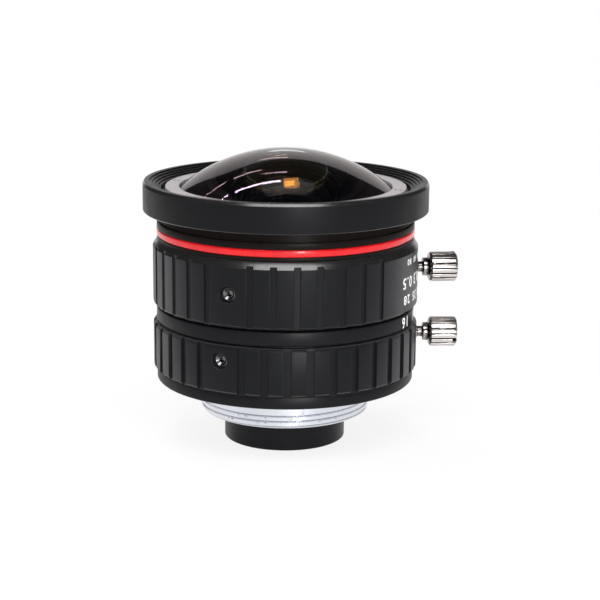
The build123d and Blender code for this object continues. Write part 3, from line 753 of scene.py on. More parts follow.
@dataclass(frozen=True)
class MountEnd:
    """The bright screw mount, the black lip above it and the tube that reaches into the camera."""

    thread_radius: float = 12.7
    thread_end: float = -4.0
    thread_chamfer: float = 0.35
    pitch: float = 0.79375
    thread_width: float = 0.36
    thread_proud: float = 0.06
    thread_start: float = -4.13
    thread_turns: int = 3
    thread_steps: int = 128
    thread_edge: float = 0.03
    relief: Corner = (12.2, -0.5)
    relief_slope: float = 0.25
    bore: float = 11.0
    shoulder: Corner = (14.4, 0.9)
    spigot: Corner = (13.0, 2.65)
    lip_radius: float = 19.4
    lip_chamfer: float = 0.2
    lip_top: float = 2.68
    web: Corner = (14.53, 4.15)
    cell_radius: float = 9.15
    cell_chamfer: float = 0.15
    cell_bore: float = 7.55
    cell_end: float = -8.53
    cell_shoulder: Corner = (10.6, 1.9)
    cell_lip: Corner = (6.8, 3.0)
    lock_radii: Span = (6.53, 7.53)
    lock_heights: Span = (-7.0, -6.0)
    lock_rounding: float = 0.08
    lock_slot: Size = (20.0, 0.8, 1.0)
    glass_heights: Span = (-6.0, -4.0)
    glass_rises: Span = (-0.4, 0.44)
    glass_steps: int = 16
    glass_segments: int = 128
    screw_circle: float = 16.025
    screw_radius: float = 0.8
    screw_head: float = 1.45
    screw_start: float = 0.3
    screw_length: float = 2.9
    screw_hole_end: float = 2.5
    screw_slot: Size = (1.5, 0.32, 0.7)
    screw_azimuth: float = 30.0
    screw_sides: int = 32

    def build(self) -> None:
        """Make and finish the pieces of the mount end."""
        self.mount()
        self.lip()
        self.screws()
        self.cell()
        self.rear_glass()

    def mount(self) -> None:
        """Screw mount with a cut thread, a relief groove and the seat."""
        outline = [
            (self.bore, self.thread_end),
            (self.thread_radius - self.thread_chamfer, self.thread_end),
            (self.thread_radius, self.thread_end + self.thread_chamfer),
            (self.thread_radius, self.relief[1]),
            (self.relief[0], self.relief[1] + self.relief_slope),
            *stair(self.relief[0], 0.0, *self.shoulder, *self.spigot, self.bore),
        ]
        ring = Bench.turned("screw_mount", outline)
        Bench.carve(ring, self.thread_tool())
        Bench.soften(ring, self.thread_edge, 1, 50.0)
        finish_piece(ring, Finishes.MOUNT, Body.BARREL, "mount_ring")

    def thread_tool(self) -> Piece:
        """Solid of the groove between the turns of the thread: a triangle swept along a helix."""
        corner_reach = self.thread_width / math.sqrt(3)
        Bench.take()
        bpy.ops.mesh.primitive_circle_add(vertices=3, radius=corner_reach * MM)
        reach = self.thread_radius + self.thread_proud - corner_reach / 2
        start = Matrix.Translation(Vector((reach, 0, self.thread_start)) * MM)
        quarter = Matrix.Rotation(math.radians(90), 4, "Z")
        tool = Bench.settle("thread_tool", start @ Matrix.Rotation(math.radians(90), 4, "X") @ quarter)
        sweep = tool.modifiers.new("turns", "SCREW")
        sweep.axis = "Z"
        sweep.screw_offset = self.pitch * MM
        sweep.iterations = self.thread_turns
        sweep.steps = self.thread_steps
        sweep.render_steps = self.thread_steps
        sweep.use_smooth_shade = False
        Bench.take(tool)
        bpy.ops.object.modifier_apply(modifier=sweep.name)
        Bench.open_mesh()
        bpy.ops.mesh.remove_doubles(threshold=MERGE_DISTANCE)
        bpy.ops.mesh.select_all(action="DESELECT")
        bpy.ops.mesh.select_mode(type="EDGE")
        bpy.ops.mesh.select_non_manifold()
        bpy.ops.mesh.fill_holes(sides=4)
        Bench.close_mesh()
        Bench.move(tool, quarter)
        return tool

    def lip(self) -> None:
        """Black lip with the web behind it and three countersunk holes."""
        inner, cell = self.spigot[0] + CLEARANCE, self.cell_radius + CLEARANCE
        bottom = self.shoulder[1]
        outline = [
            (inner, bottom),
            (self.lip_radius - self.lip_chamfer, bottom),
            (self.lip_radius, bottom + self.lip_chamfer),
            *stair(self.lip_radius, self.lip_top, *self.web, cell, self.spigot[1], inner),
        ]
        lip = Bench.turned("rear_lip", outline, FINE_EDGE)
        for number in range(SECTORS):
            place = self.screw_place(number)
            hole = (self.screw_radius + CLEARANCE, -OVERCUT, self.screw_hole_end)
            Bench.carve(lip, Bench.rod("hole", *hole, place, self.screw_sides))
            Bench.carve(lip, self.screw_cone("sink", CLEARANCE, place))
        finish_piece(lip, Finishes.BLACK, Body.BARREL, "rear_flange")

    def screw_place(self, number: int) -> Matrix:
        """Place of a flange screw, with its Z along the optical axis."""
        azimuth = self.screw_azimuth + number * SECTOR_ANGLE
        turned = Matrix.Rotation(math.radians(azimuth), 4, "Z")
        return upright(azimuth, self.screw_circle, self.shoulder[1]) @ turned

    def screw_cone(self, name: str, extra: float, place: Matrix) -> Piece:
        """Countersink or screw head of 90 degrees, wide end first, wider than the head by some extra."""
        ends = (self.screw_head + extra, self.screw_radius + extra)
        return Bench.cone(name, ends, 0.0, ends[0] - ends[1], place)

    def screws(self) -> None:
        """Three countersunk screws with cross slots."""
        screws = []
        for number in range(SECTORS):
            place = self.screw_place(number)
            head = self.screw_cone("head", 0.0, place)
            shank = (self.screw_radius, self.screw_start, self.screw_length)
            Bench.carve(head, Bench.rod("shank", *shank, place, self.screw_sides), Cut.ADD)
            for turn in (0.0, 90.0):
                slot_place = place @ Matrix.Rotation(math.radians(turn), 4, "Z")
                Bench.carve(head, Bench.block("slot", self.screw_slot, 0.0, slot_place))
            screws.append(head)
        joined = Bench.join("flange_screw_set", screws)
        finish_piece(joined, Finishes.DARK_STEEL, Body.BARREL, "flange_screws")

    def cell(self) -> None:
        """Black tube of the rear glasses, with its retaining ring."""
        outline = [
            (self.cell_bore, self.cell_end),
            (self.cell_radius - self.cell_chamfer, self.cell_end),
            (self.cell_radius, self.cell_end + self.cell_chamfer),
            *stair(self.cell_radius, self.cell_shoulder[1], self.cell_shoulder[0], self.spigot[1]),
            (self.cell_radius, self.spigot[1]),
            *stair(self.cell_radius, self.web[1], *self.cell_lip, self.cell_bore),
        ]
        finish_piece(Bench.turned("rear_tube", outline, EDGE), Finishes.BLACK, Body.BARREL, "rear_cell")
        ring = Bench.band("rear_lock_ring", self.lock_radii, self.lock_heights, self.lock_rounding)
        Bench.carve(ring, Bench.block("slot", self.lock_slot, self.lock_heights[0], Matrix.Identity(4)))
        finish_piece(ring, Finishes.MATT, Body.BARREL, "rear_retaining_ring")

    def rear_glass(self) -> None:
        """Last glass, which shows from behind."""
        (clear, edge), (bottom, top) = self.lock_radii, self.glass_heights
        lower = cap_arc((clear, bottom), bottom + self.glass_rises[0], self.glass_steps)
        upper = cap_arc((clear, top), top + self.glass_rises[1], self.glass_steps)
        outline = [*lower, (edge, bottom), (edge, top), *reversed(upper)]
        glass = Bench.turned("rear_lens", outline, segments=self.glass_segments)
        finish_piece(glass, Finishes.REAR_GLASS, Body.BARREL, "rear_last_glass")


@dataclass(frozen=True)
class GripRing:
    """A ring with grip grooves, three screw holes and, on one side, a smooth panel.

    The raised wall runs through its heights, with its radii at them; where the first height is the
    ring's bottom or the last one its top, the wall reaches that end, and else a slant does.
    """

    name: str
    node: str
    body: Body
    bottom: Corner
    top: Corner
    wall_heights: tuple[float, float, float, float]
    wall_radii: tuple[float, float, float, float]
    floor: float
    groove_width: float
    first_hole: float
    hole_height: float
    inner_corners: Sequence[Corner]
    panel: Span = (0.0, 0.0)
    bright_tilt: Span = (-1.0, 1.0)
    radius: float = 19.9
    groove_count: int = 37
    hole_land: float = 0.3
    hole_radius: float = 1.05
    hole_reach: Span = (16.0, 21.0)
    recess_radius: float = 1.25
    recess_depth: float = 0.6
    smooth: float = 32.0
    bright_depth: float = 0.5

    def grooves(self) -> list[float]:
        """Azimuths of the grooves, evenly spaced, with none across a hole or the panel."""
        clearance = math.degrees((self.recess_radius + self.groove_width / 2 + self.hole_land) / self.radius)
        angles = []
        for index in range(self.groove_count):
            angle = index * 360.0 / self.groove_count
            nearest_hole = round(angle / SECTOR_ANGLE) * SECTOR_ANGLE
            on_panel = self.panel[0] < angle < self.panel[1]
            if abs(angle - nearest_hole) > clearance and not on_panel:
                angles.append(self.first_hole + angle)
        return angles

    def build(self) -> None:
        """Make and finish the ring."""
        outline = [(self.floor, height) for height in self.wall_heights]
        if self.wall_heights[0] > self.bottom[1]:
            outline.insert(0, self.bottom)
        if self.wall_heights[-1] < self.top[1]:
            outline.append(self.top)
        ring = Bench.turned(self.name, [*outline, *self.inner_corners], segments=GRIP_SEGMENTS)
        angles = self.grooves()
        half = math.degrees(self.groove_width / 2 / self.radius)

        def is_land(azimuth: float) -> bool:
            """Tell whether an azimuth lies outside every groove."""
            return all(abs((azimuth - angle + 180.0) % 360.0 - 180.0) > half for angle in angles)

        Bench.raise_lands(ring, self.floor, dict(zip(self.wall_heights, self.wall_radii)), is_land)
        Bench.soften(ring, FINE_EDGE, 2, GRIP_CREASE)
        start, end = self.hole_reach
        for sector in range(SECTORS):
            place = outward(self.first_hole + sector * SECTOR_ANGLE, 0.0, self.hole_height)
            Bench.carve(ring, Bench.rod("hole", self.hole_radius, start, end, place, CUT_SIDES))
            floor = self.radius - self.recess_depth
            Bench.carve(ring, Bench.rod("recess", self.recess_radius, floor, end, place, CUT_SIDES))
        finish_piece(ring, Finishes.GRIP, self.body, self.node, smooth=self.smooth)
        finish_bevels(ring, self.floor - self.bright_depth, self.bright_tilt)


IRIS_HOLE, IRIS_HEIGHT = -118.1, 7.58
FOCUS_HOLE, FOCUS_HEIGHT = -114.4, 17.35

IRIS_GRIP = GripRing(
    name="iris_grip_ring",
    node="iris_ring",
    body=Body.IRIS,
    bottom=(19.5, 2.73),
    top=(19.6, 9.78),
    wall_heights=(2.73, 3.13, 9.48, 9.78),
    wall_radii=(19.5, 19.9, 19.9, 19.6),
    floor=19.48,
    groove_width=1.24,
    first_hole=IRIS_HOLE,
    hole_height=IRIS_HEIGHT,
    inner_corners=[(18.35, 9.78), *stair(18.35, 10.04, 17.55, 2.73)],
    bright_tilt=(-1.0, 0.0),
)

FOCUS_GRIP = GripRing(
    name="focus_grip_ring",
    node="focus_ring",
    body=Body.FOCUS,
    bottom=(19.5, 12.55),
    top=(19.25, 22.29),
    wall_heights=(12.7, 12.95, 21.29, 21.675),
    wall_radii=(19.65, 19.9, 19.9, 19.65),
    floor=19.65,
    groove_width=0.97,
    first_hole=FOCUS_HOLE,
    hole_height=FOCUS_HEIGHT,
    inner_corners=[(18.7, 22.29), *stair(18.7, 20.53, 17.55, 12.31, 18.35, 12.55)],
    panel=(73.0, 141.0),
)


@dataclass(frozen=True)
class Barrel:
    """The fixed body, of which the scale band between the grip rings shows."""

    radius: float = 19.4
    band_bottom: float = 10.09
    band_top: float = 12.26
    tube_radius: float = 17.5
    tube_bore: float = 15.55
    bottom: float = 2.68
    top: float = 21.48
    lower_bore: float = 14.55
    web_bore: float = 6.5
    web_bottom: float = 8.42
    web_top: float = 10.42
    chamfer: float = 0.15
    slot_radius: float = 0.75
    slot_height: float = 14.56
    slot_travel: float = 0.5
    slot_azimuth: float = -56.0
    slot_reach: Span = (14.0, 18.5)
    slot_sides: int = 40

    def build(self) -> None:
        """Make and finish the barrel, with the slots of the three cam pins."""
        edge = self.radius - self.chamfer
        outline = [
            *stair(self.lower_bore, self.bottom, self.tube_radius, self.band_bottom, edge),
            (self.radius, self.band_bottom + self.chamfer),
            (self.radius, self.band_top - self.chamfer),
            *stair(edge, self.band_top, self.tube_radius, self.top, self.tube_bore),
            *stair(self.tube_bore, self.web_top, self.web_bore, self.web_bottom, self.lower_bore),
        ]
        barrel = Bench.turned("fixed_barrel", outline, FINE_EDGE)
        half = self.slot_travel / 2
        for sector in range(SECTORS):
            place = outward(self.slot_azimuth + sector * SECTOR_ANGLE, 0.0, self.slot_height)
            for shift in (-half, half):
                end = place @ Matrix.Translation((0, shift * MM, 0))
                slot = Bench.rod("slot", self.slot_radius, *self.slot_reach, end, self.slot_sides)
                Bench.carve(barrel, slot)
        finish_piece(barrel, Finishes.BLACK, Body.BARREL, "main_barrel")


@dataclass(frozen=True)
class FrontHousing:
    """Neck, collar and hood of the front group, with the red ring and the ring over the front glass."""

    bell_radius: float = 21.35
    bell_bottom: float = 26.53
    bell_top: float = 30.95
    bell_bore: float = 18.62
    bell_chamfer: float = 0.15
    rim_width: float = 0.75
    rim_chamfer: float = 0.25
    rim_chamfer_height: float = 0.45
    steps: int = 4
    flare_depth: float = 1.05
    accent_radii: Span = (18.62, 19.35)
    accent_heights: Span = (22.95, 24.04)
    accent_rounding: float = 0.26
    ring_radii: Span = (15.9, 18.0)
    ring_heights: Span = (28.9, 30.1)
    ring_rounding: float = 0.12
    spanner_radius: float = 0.3
    spanner_spacing: float = 0.75
    spanner_depth: float = 0.5
    spanner_azimuth: float = -13.0
    spanner_sides: int = 24
    bright_depth: float = 0.3
    slider: Sequence[float] = (6.8, 12.02, 15.5, 21.58)
    skirt_and_flange: Sequence[float] = (18.5, 22.41, 19.25, 22.95)
    groove_and_collar: Sequence[float] = (18.6, 24.04, 19.3, 25.02, 18.9, 26.53)
    cup: Sequence[float] = (18.6, 29.3, 18.02, 28.9, 16.42, 26.35)
    bores: Sequence[float] = (11.02, 20.92, 9.02, 16.82, 7.52, 13.02, 6.8)

    def build(self) -> None:
        """Make and finish the neck, the red ring, the hood and the grey ring."""
        levels = (*self.slider, *self.skirt_and_flange, *self.groove_and_collar, *self.cup, *self.bores)
        neck = Bench.turned("front_neck", stair(*levels), EDGE)
        finish_piece(neck, Finishes.NECK, Body.FRONT, "front_barrel")
        accent = Bench.band("red_ring", self.accent_radii, self.accent_heights, self.accent_rounding, 5)
        finish_piece(accent, Finishes.RED, Body.FRONT, "accent_ring")
        self.bell()
        self.glass_ring()

    def bell(self) -> None:
        """Hood with fine steps that fall from its rim to the glass ring."""
        rim_inner = self.bell_radius - self.rim_chamfer - self.rim_width
        width = (rim_inner - self.bell_bore) / self.steps
        drop = self.flare_depth / self.steps
        outline = [
            (self.bell_bore, self.bell_bottom),
            (self.bell_radius - self.bell_chamfer, self.bell_bottom),
            (self.bell_radius, self.bell_bottom + self.bell_chamfer),
            (self.bell_radius, self.bell_top - self.rim_chamfer_height),
            (self.bell_radius - self.rim_chamfer, self.bell_top),
            (rim_inner, self.bell_top),
        ]
        for step in range(self.steps):
            outer = rim_inner - step * width
            outline += stair(outer, self.bell_top - (step + 1) * drop, outer - width)
        bell = Bench.turned("hood", outline, FINE_EDGE)
        finish_piece(bell, Finishes.BELL, Body.FRONT, "front_bell")
        finish_bevels(bell, self.bell_radius - self.bright_depth)

    def glass_ring(self) -> None:
        """Grey ring over the rim of the front glass, with its spanner holes."""
        ring = Bench.band("glass_lock_ring", self.ring_radii, self.ring_heights, self.ring_rounding)
        middle = sum(self.ring_radii) / 2
        for azimuth in (self.spanner_azimuth, self.spanner_azimuth + 180.0):
            for shift in (-self.spanner_spacing / 2, self.spanner_spacing / 2):
                place = upright(azimuth, middle + shift, self.ring_heights[1])
                hole = (self.spanner_radius, -self.spanner_depth, OVERCUT)
                Bench.carve(ring, Bench.rod("hole", *hole, place, self.spanner_sides))
        finish_piece(ring, Finishes.GREY, Body.FRONT, "front_retaining_ring")


@dataclass(frozen=True)
class FrontGlasses:
    """The domed front glass and what shows through it."""

    dome_radius: float = 15.8
    dome_base: float = 29.8
    dome_apex: float = 35.55
    dome_steps: int = 40
    ledge: float = 28.9
    edge_radius: float = 16.4
    seat: float = 26.35
    hollow_radius: float = 9.4
    hollow_apex: float = 34.35
    blackened_depth: float = 0.1
    seat_depth: float = 0.01
    second_radius: float = 11.0
    second_clear: float = 9.0
    second_hollow: float = 8.0
    second_heights: tuple[float, float, float, float] = (20.92, 23.72, 24.12, 25.22)
    second_steps: int = 24
    second_segments: int = 160
    ring_rounding: float = 0.1

    def build(self) -> None:
        """Make and finish the front glass, the glass under it and its ring."""
        self.dome()
        self.second()

    def dome(self) -> None:
        """Front glass: a dome over a hollow back, with a blackened rim."""
        outside = cap_arc((self.dome_radius, self.dome_base), self.dome_apex, self.dome_steps)
        inside = cap_arc((self.hollow_radius, self.seat), self.hollow_apex, self.dome_steps)
        rim = [(self.dome_radius, self.ledge), (self.edge_radius, self.ledge), (self.edge_radius, self.seat)]
        glass = Bench.turned("front_lens", [*outside, *rim, *reversed(inside)])
        finish_piece(glass, Finishes.FRONT_GLASS, Body.FRONT, "front_glass")

        def is_black(face: Face) -> bool:
            """Tell whether a face is part of the blackened rim or of the seat."""
            middle = face.center / MM
            reach = math.hypot(middle.x, middle.y)
            on_rim = reach > self.dome_radius - self.blackened_depth and middle.z < self.dome_base
            return on_rim or (reach > self.hollow_radius and middle.z < self.seat + self.seat_depth)

        finish_faces(glass, Finishes.MATT, is_black)
        finish_faces(glass, Finishes.HOLLOW, lambda face: face.normal.z < 0 and not is_black(face))

    def second(self) -> None:
        """Second glass and the matt ring that holds it."""
        bottom, hollow, ledge, apex = self.second_heights
        lower = cap_arc((self.second_hollow, bottom), hollow, self.second_steps)
        upper = cap_arc((self.second_clear, ledge), apex, self.second_steps)
        outline = [*lower, (self.second_radius, bottom), (self.second_radius, ledge), *reversed(upper)]
        glass = Bench.turned("second_lens", outline, segments=self.second_segments)
        finish_piece(glass, Finishes.INNER_GLASS, Body.FRONT, "second_glass")
        radii = (self.second_clear, self.second_radius)
        ring = Bench.band("inner_lock_ring", radii, (ledge, apex), self.ring_rounding)
        finish_piece(ring, Finishes.MATT, Body.FRONT, "inner_retaining_ring")


@dataclass(frozen=True)
class LockScrew:
    """Thumbscrew with a fluted knob and a slot across its end."""

    name: str
    node: str
    body: Body
    azimuth: float
    height: float
    slot_turn: float
    shank_radius: float = 1.0
    shank_chamfer: float = 0.2
    neck_radius: float = 0.8
    neck_swell: float = 0.12
    neck_slope: float = 0.15
    neck_step: float = 0.1
    collar_radius: float = 1.38
    collar_groove: float = 0.16
    groove_heights: Span = (0.18, 0.1)
    knob_radius: float = 2.28
    flute_floor: float = 1.98
    start: float = 17.62
    shank_end: float = 20.02
    neck_end: float = 20.95
    collar_end: float = 21.85
    knob_end: float = 26.05
    flutes: int = 18
    faces_per_flute: int = 8
    rib_share: float = 0.74
    rib_rounding: float = 0.07
    dull_gap: float = 0.05
    slot: Size = (6.0, 0.6, 1.4)

    def build(self) -> None:
        """Make and finish the screw."""
        chamfer = self.knob_radius - self.flute_floor
        groove = self.collar_radius - self.collar_groove
        heights = (self.collar_end, self.collar_end + chamfer, self.knob_end - chamfer, self.knob_end)
        outline = [
            (0.0, self.start),
            (self.shank_radius - self.shank_chamfer, self.start),
            (self.shank_radius, self.start + self.shank_chamfer),
            (self.shank_radius, self.shank_end),
            (self.neck_radius, self.shank_end + self.neck_step),
            (self.neck_radius, self.neck_end - self.neck_slope),
            (self.neck_radius + self.neck_swell, self.neck_end),
            (self.collar_radius, self.neck_end),
            (self.collar_radius, self.collar_end - self.groove_heights[0]),
            (groove, self.collar_end - self.groove_heights[1]),
            (groove, self.collar_end),
            *[(self.flute_floor, height) for height in heights],
            (0.0, self.knob_end),
        ]
        knob = Bench.turned(self.name, outline, segments=self.flutes * self.faces_per_flute)
        pitch = 360.0 / self.flutes

        def is_rib(azimuth: float) -> bool:
            """Tell whether an azimuth lies on a rib of the knob."""
            return (azimuth % pitch) / pitch < self.rib_share

        radii = (self.flute_floor, self.knob_radius, self.knob_radius, self.flute_floor)
        Bench.raise_lands(knob, self.flute_floor, dict(zip(heights, radii)), is_rib)
        Bench.soften(knob, self.rib_rounding, 3, GRIP_CREASE)
        slot_place = Matrix.Rotation(math.radians(self.slot_turn), 4, "Z")
        Bench.carve(knob, Bench.block("slot", self.slot, self.knob_end, slot_place))
        place = outward(self.azimuth, 0.0, self.height)
        Bench.move(knob, place)
        finish_piece(knob, Finishes.NICKEL, self.body, self.node, smooth=GRIP_CREASE)
        out = place.col[2].to_3d()
        neck_end = (self.collar_end - self.dull_gap) * MM
        finish_faces(knob, Finishes.DULL_NICKEL, lambda face: face.center.dot(out) < neck_end)


@dataclass(frozen=True)
class GrubScrews:
    """Two socket screws in the holes that the thumbscrew leaves free."""

    name: str
    node: str
    body: Body
    first_hole: float
    height: float
    sectors: tuple[int, int] = (0, 2)
    radius: float = 1.0
    sides: int = 40
    socket: float = 0.5
    inner_end: float = 17.62
    outer_end: float = 19.3
    socket_depth: float = 0.8
    dish_rim: float = 0.12
    dish_depth: float = 0.35
    dish_proud: float = 0.01
    rounding: float = 0.1

    def build(self) -> None:
        """Make and finish both screws, each dished down to its socket."""
        screws = []
        for sector in self.sectors:
            place = outward(self.first_hole + sector * SECTOR_ANGLE, 0.0, self.height)
            screw = Bench.rod("grub", self.radius, self.inner_end, self.outer_end, place, self.sides)
            Bench.soften(screw, self.rounding, 2, 50.0)
            ends = (self.socket, self.radius - self.dish_rim)
            dish_start = self.outer_end + self.dish_proud - self.dish_depth
            Bench.carve(screw, Bench.cone("dish", ends, dish_start, self.dish_depth, place))
            socket = (self.socket, self.outer_end - self.socket_depth, self.outer_end + OVERCUT)
            Bench.carve(screw, Bench.rod("socket", *socket, place, 6))
            screws.append(screw)
        finish_piece(Bench.join(self.name, screws), Finishes.GRUB_STEEL, self.body, self.node)


@dataclass(frozen=True)
class Scale:
    """Numbers printed on a round wall, upside down when the front glass is up."""

    name: str
    body: Body
    radius: float
    size: float
    height: float
    marks: dict[str, float]
    proud: float = 0.012
    sunk: float = 0.03
    digit_share: float = 0.64
    point_share: float = 0.34
    boldness: float = 0.015

    def build(self) -> None:
        """Make and finish the printed numbers as one piece."""
        letters = []
        for label, azimuth in self.marks.items():
            widths = [self.size * (self.point_share if sign == "." else self.digit_share) for sign in label]
            across = -sum(widths) / 2
            for sign, width in zip(label, widths):
                middle = across + width / 2
                letters.append(self.letter(sign, azimuth - math.degrees(middle / self.radius)))
                across += width
        finish_piece(Bench.join(self.name, letters), Finishes.PRINT, self.body, smooth=0.0)

    def letter(self, sign: str, azimuth: float) -> Piece:
        """One printed sign at an azimuth."""
        Bench.take()
        bpy.ops.object.text_add()
        text = bpy.context.object
        text.data.body = sign
        text.data.size = self.size * MM
        text.data.align_x = "CENTER"
        text.data.align_y = "CENTER"
        text.data.offset = self.boldness * self.size * MM
        text.data.extrude = (self.proud + self.sunk) / 2 * MM
        text.data.resolution_u = 4
        bpy.ops.object.convert(target="MESH")
        place = outward(azimuth, self.radius + (self.proud - self.sunk) / 2, self.height)
        letter = Bench.settle("letter", place @ Matrix.Rotation(math.pi, 4, "Z"))
        Bench.open_mesh()
        bpy.ops.mesh.remove_doubles(threshold=MERGE_DISTANCE)
        bpy.ops.object.mode_set(mode="OBJECT")
        return letter


class HiddenPieces:
    """The nodes that keep their solids, with a finish each."""

    finishes: Sequence[tuple[Finish, Sequence[str]]] = (
        (Finishes.INNER_GLASS, ("rear_first_glass", "rear_crown_glass", "rear_flint_glass")),
        (Finishes.INNER_GLASS, ("third_glass", "fourth_glass")),
        (Finishes.MATT, ("rear_upper_spacer", "rear_lower_spacer", "front_spacer", "middle_spacer")),
        (Finishes.MATT, ("focus_stop_ring", "iris_base_plate")),
        (Finishes.BRASS, ("iris_drive_pin", "iris_drive_ring", "cam_pins")),
        (Finishes.BLADE, tuple(f"iris_blade_{number}" for number in range(1, 7))),
    )

    @classmethod
    def build(cls) -> None:
        """Give each hidden node its finish."""
        for finish, nodes in cls.finishes:
            for node in nodes:
                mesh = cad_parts[node].data
                mesh.materials.clear()
                mesh.materials.append(finish.build())
                log.info("%s: finished in %s", node, finish.name)


@dataclass(frozen=True)
class SoftBox:
    """A rectangular lamp that faces the lens: where it stands, its sides, its power and who sees it."""

    name: str
    spot: Sequence[float]
    size: Span
    power: float
    seen: Seen
    colour: Colour = (1.0, 1.0, 1.0)


@dataclass(frozen=True)
class Tube:
    """A thin ceiling lamp along X: its ends, how far behind the lens it hangs, its width and its power."""

    start: float
    end: float
    depth: float
    width: float
    power: float


@dataclass(frozen=True)
class Studio:
    """Camera, lamps, white surroundings and a pale floor."""

    distance: float = 262.0
    elevation: float = 13.11
    roll: float = -0.33
    target_height: float = 12.46
    lens: float = 103.73
    sensor_width: float = 36.0
    shift: float = 0.0246
    clip_start: float = 0.01
    floor_height: float = -8.53
    floor_size: float = 600.0
    floor_fade: Span = (0.02, 0.09)
    floor_glow: Span = (0.84, 1.0)
    floor_tone: float = 0.94
    ceiling: float = 600.0
    tube_colour: Colour = (1.0, 0.74, 0.74)
    boxes: Sequence[SoftBox] = (
        SoftBox("key box", (0, -260, 385), (380, 110), 1.25, Seen.GLOSS),
        SoftBox("low box", (115, -490, 40), (60, 90), 1.4, Seen.GLOSS),
        SoftBox("left box", (-420, -60, 240), (300, 300), 0.65, Seen.MATT),
        SoftBox("right box", (420, -60, 240), (300, 300), 0.65, Seen.MATT),
        SoftBox("window box", (92, -500, 130), (270, 270), 1.4, Seen.GLASS, (1.0, 0.62, 0.35)),
        SoftBox("hot box", (62, -470, 125), (150, 130), 1.6, Seen.GLASS, (1.0, 0.85, 0.6)),
    )
    tubes: Sequence[Tube] = (
        Tube(-364, -317, 238, 22, 0.2),
        Tube(-273, -27, 238, 22, 1.1),
        Tube(-491, -323, 473, 14, 0.14),
        Tube(-274, -125, 473, 14, 0.14),
        Tube(-112, -70, 380, 14, 0.04),
        Tube(-55, 7, 380, 14, 0.06),
        Tube(-133, -85, 870, 16, 0.04),
        Tube(-69, 7, 870, 16, 0.06),
    )
    panel_middle: float = 0.025
    panel_half_width: float = 0.425
    panel_half_height: float = 0.58
    panel_lean: float = 0.1
    panel_squareness: float = 5.0
    panel_edge: Span = (1.08, 0.92)
    mirrored: Span = (0.06, 1.0)
    plain: Span = (0.4, 1.0)

    def build(self) -> None:
        """Set up the camera, the lamps, the world and the floor."""
        self.camera()
        self.lamps()
        self.world()
        self.floor()
        bpy.context.scene.view_settings.view_transform = "Standard"

    def camera(self) -> None:
        """Camera at the photograph's angle, with its slight roll."""
        target = Matrix.Translation((0, 0, self.target_height * MM))
        tilt = Matrix.Rotation(math.radians(90.0 - self.elevation), 4, "X")
        roll = Matrix.Rotation(math.radians(-self.roll), 4, "Z")
        away = Matrix.Translation((0, 0, self.distance * MM))
        data = bpy.data.cameras.new("camera")
        data.lens = self.lens
        data.sensor_width = self.sensor_width
        data.shift_x = self.shift
        data.clip_start = self.clip_start
        camera = bpy.data.objects.new("camera", data)
        bpy.context.scene.collection.objects.link(camera)
        camera.matrix_world = target @ tilt @ roll @ away
        bpy.context.scene.camera = camera

    def lamps(self) -> None:
        """Soft boxes in front and at both sides, and tubes that the dome mirrors as arcs."""
        for box in self.boxes:
            lamp = self.lamp(box.name, box.spot, box.size, box.power, box.colour)
            lamp.rotation_euler = (-Vector(box.spot)).to_track_quat("-Z", "Y").to_euler()
            lamp.visible_diffuse = box.seen is not Seen.GLASS
            lamp.visible_glossy = box.seen is Seen.GLOSS
            lamp.visible_transmission = box.seen is Seen.GLASS
        for tube in self.tubes:
            spot = ((tube.start + tube.end) / 2, tube.depth, self.ceiling)
            self.lamp("ceiling tube", spot, (tube.end - tube.start, tube.width), tube.power, self.tube_colour)

    @staticmethod
    def lamp(name: str, spot: Sequence[float], size: Span, power: float, colour: Colour) -> Piece:
        """One rectangular lamp that looks down.

        Args:
            name: the lamp's name.
            spot: where it is.
            size: its two sides.
            power: its power in watts.
            colour: its colour.

        Returns:
            The lamp.
        """
        data = bpy.data.lights.new(name, "AREA")
        data.shape = "RECTANGLE"
        data.size, data.size_y = (part * MM for part in size)
        data.energy = power
        data.color = colour
        lamp = bpy.data.objects.new(name, data)
        bpy.context.scene.collection.objects.link(lamp)
        lamp.location = Vector(spot) * MM
        return lamp

    def world(self) -> None:
        """White surroundings for the camera; gloss and glass see a white panel under a dark ceiling."""
        world = bpy.data.worlds.new("surroundings")
        bpy.context.scene.world = world
        world.use_nodes = True
        sheet = Sheet(world.node_tree)
        path = sheet.add("LightPath").outputs
        direction = sheet.add("TexCoord").outputs["Generated"]
        parts = sheet.add("SeparateXYZ", {"Vector": direction}).outputs
        behind = sheet.spread(parts["Y"], (0.0, 0.3))
        leaned = sheet.math("MULTIPLY_ADD", parts["X"], self.panel_lean, parts["Z"])
        height = sheet.math("DIVIDE", leaned, self.panel_half_height)
        across = sheet.math("ABSOLUTE", sheet.math("SUBTRACT", parts["X"], self.panel_middle))
        width = sheet.math("DIVIDE", across, self.panel_half_width)
        high, wide = (sheet.math("POWER", part, self.panel_squareness) for part in (height, width))
        within = sheet.spread(sheet.math("ADD", high, wide), self.panel_edge)
        mirrored = sheet.spread(sheet.math("MULTIPLY", behind, within), (0.0, 1.0), self.mirrored)
        bent = sheet.math("MAXIMUM", path["Is Glossy Ray"], path["Is Transmission Ray"])
        plain = sheet.spread(path["Is Camera Ray"], (0.0, 1.0), self.plain)
        strength = sheet.add("Mix", {0: bent, 2: plain, 3: mirrored}, data_type="FLOAT").outputs[0]
        light = sheet.add("Background", {"Color": WHITE, "Strength": strength})
        sheet.add("OutputWorld", {"Surface": light.outputs["Background"]})

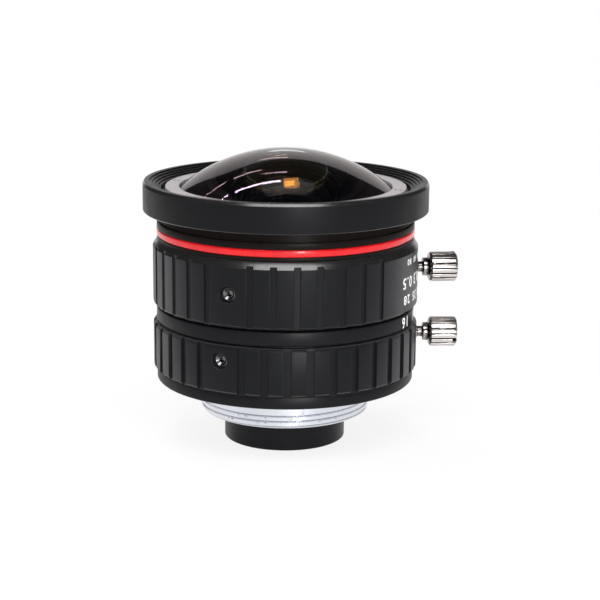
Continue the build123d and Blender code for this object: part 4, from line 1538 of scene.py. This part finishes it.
    def floor(self) -> None:
        """Pale floor that keeps the shadow and fades into the white surroundings; clear from below."""
        Bench.take()
        middle = (0, 0, self.floor_height * MM)
        bpy.ops.mesh.primitive_circle_add(
            vertices=96, radius=self.floor_size * MM, fill_type="NGON", location=middle
        )
        floor = Bench.settle("floor")
        material = bpy.data.materials.new("pale floor")
        material.use_nodes = True
        sheet = Sheet(material.node_tree)
        reach = sheet.add("VectorMath", {0: sheet.place()}, operation="LENGTH").outputs["Value"]
        far = sheet.spread(reach, self.floor_fade, self.floor_glow)
        path = sheet.add("LightPath").outputs
        seen = sheet.math("MAXIMUM", path["Is Camera Ray"], path["Is Glossy Ray"])
        share = sheet.math("MULTIPLY", far, seen)
        matt = sheet.add("BsdfDiffuse", {"Color": (*[self.floor_tone] * 3, 1.0)}).outputs["BSDF"]
        white = sheet.add("Emission", {"Color": WHITE, "Strength": 1.0}).outputs["Emission"]
        above = sheet.add("MixShader", {0: share, 1: matt, 2: white}).outputs["Shader"]
        from_below = sheet.add("NewGeometry").outputs["Backfacing"]
        clear = sheet.add("BsdfTransparent").outputs["BSDF"]
        mix = sheet.add("MixShader", {0: from_below, 1: above, 2: clear}).outputs["Shader"]
        sheet.add("OutputMaterial", {"Surface": mix})
        floor.data.materials.append(material)


BAND_RADIUS, GRIP_RADIUS = 19.4, 19.9
APERTURES = {"16": -24.0, "11": -8.0, "8": 7.0, "5.6": 22.0, "4": 37.0, "2.8": 52.0, "2": 67.0}
DISTANCES = {"0.5": -26.0, "0.3": -13.5, "0.2": 17.0}
HIGH_NUMBERS = {"80": -24.5, "60": -17.0, "50": -9.5, "30": 13.0, "20": 20.5}
LOW_NUMBERS = {"28": -26.5, "35": -16.5, "50": -6.5, "70": 3.5, "95": 13.5}

PARTS = (
    MountEnd(),
    Barrel(),
    IRIS_GRIP,
    FOCUS_GRIP,
    FrontHousing(),
    FrontGlasses(),
    LockScrew("focus_thumbscrew", "focus_lock_screw", Body.FOCUS_LOCK, 5.6, FOCUS_HEIGHT, 90.0),
    LockScrew("iris_thumbscrew", "iris_lock_screw", Body.IRIS_LOCK, 1.9, IRIS_HEIGHT, 24.5),
    GrubScrews("focus_socket_screws", "focus_grub_screws", Body.FOCUS, FOCUS_HOLE, FOCUS_HEIGHT),
    GrubScrews("iris_socket_screws", "iris_grub_screws", Body.IRIS, IRIS_HOLE, IRIS_HEIGHT),
    Scale("aperture_print", Body.BARREL, BAND_RADIUS, 2.3, 11.15, APERTURES),
    Scale("distance_print", Body.FOCUS, GRIP_RADIUS, 2.3, 17.3, DISTANCES),
    Scale("distance_print_high", Body.FOCUS, GRIP_RADIUS, 1.3, 20.25, HIGH_NUMBERS),
    Scale("distance_print_low", Body.FOCUS, GRIP_RADIUS, 1.9, 14.75, LOW_NUMBERS),
    HiddenPieces(),
    Studio(),
)


def main() -> None:
    """Build the lens from the mount to the front glass, then the studio, with a log line for each piece."""
    logging.basicConfig(level=logging.INFO, format="%(name)s %(message)s")
    for part in PARTS:
        part.build()


if __name__ == "__main__":
    main()
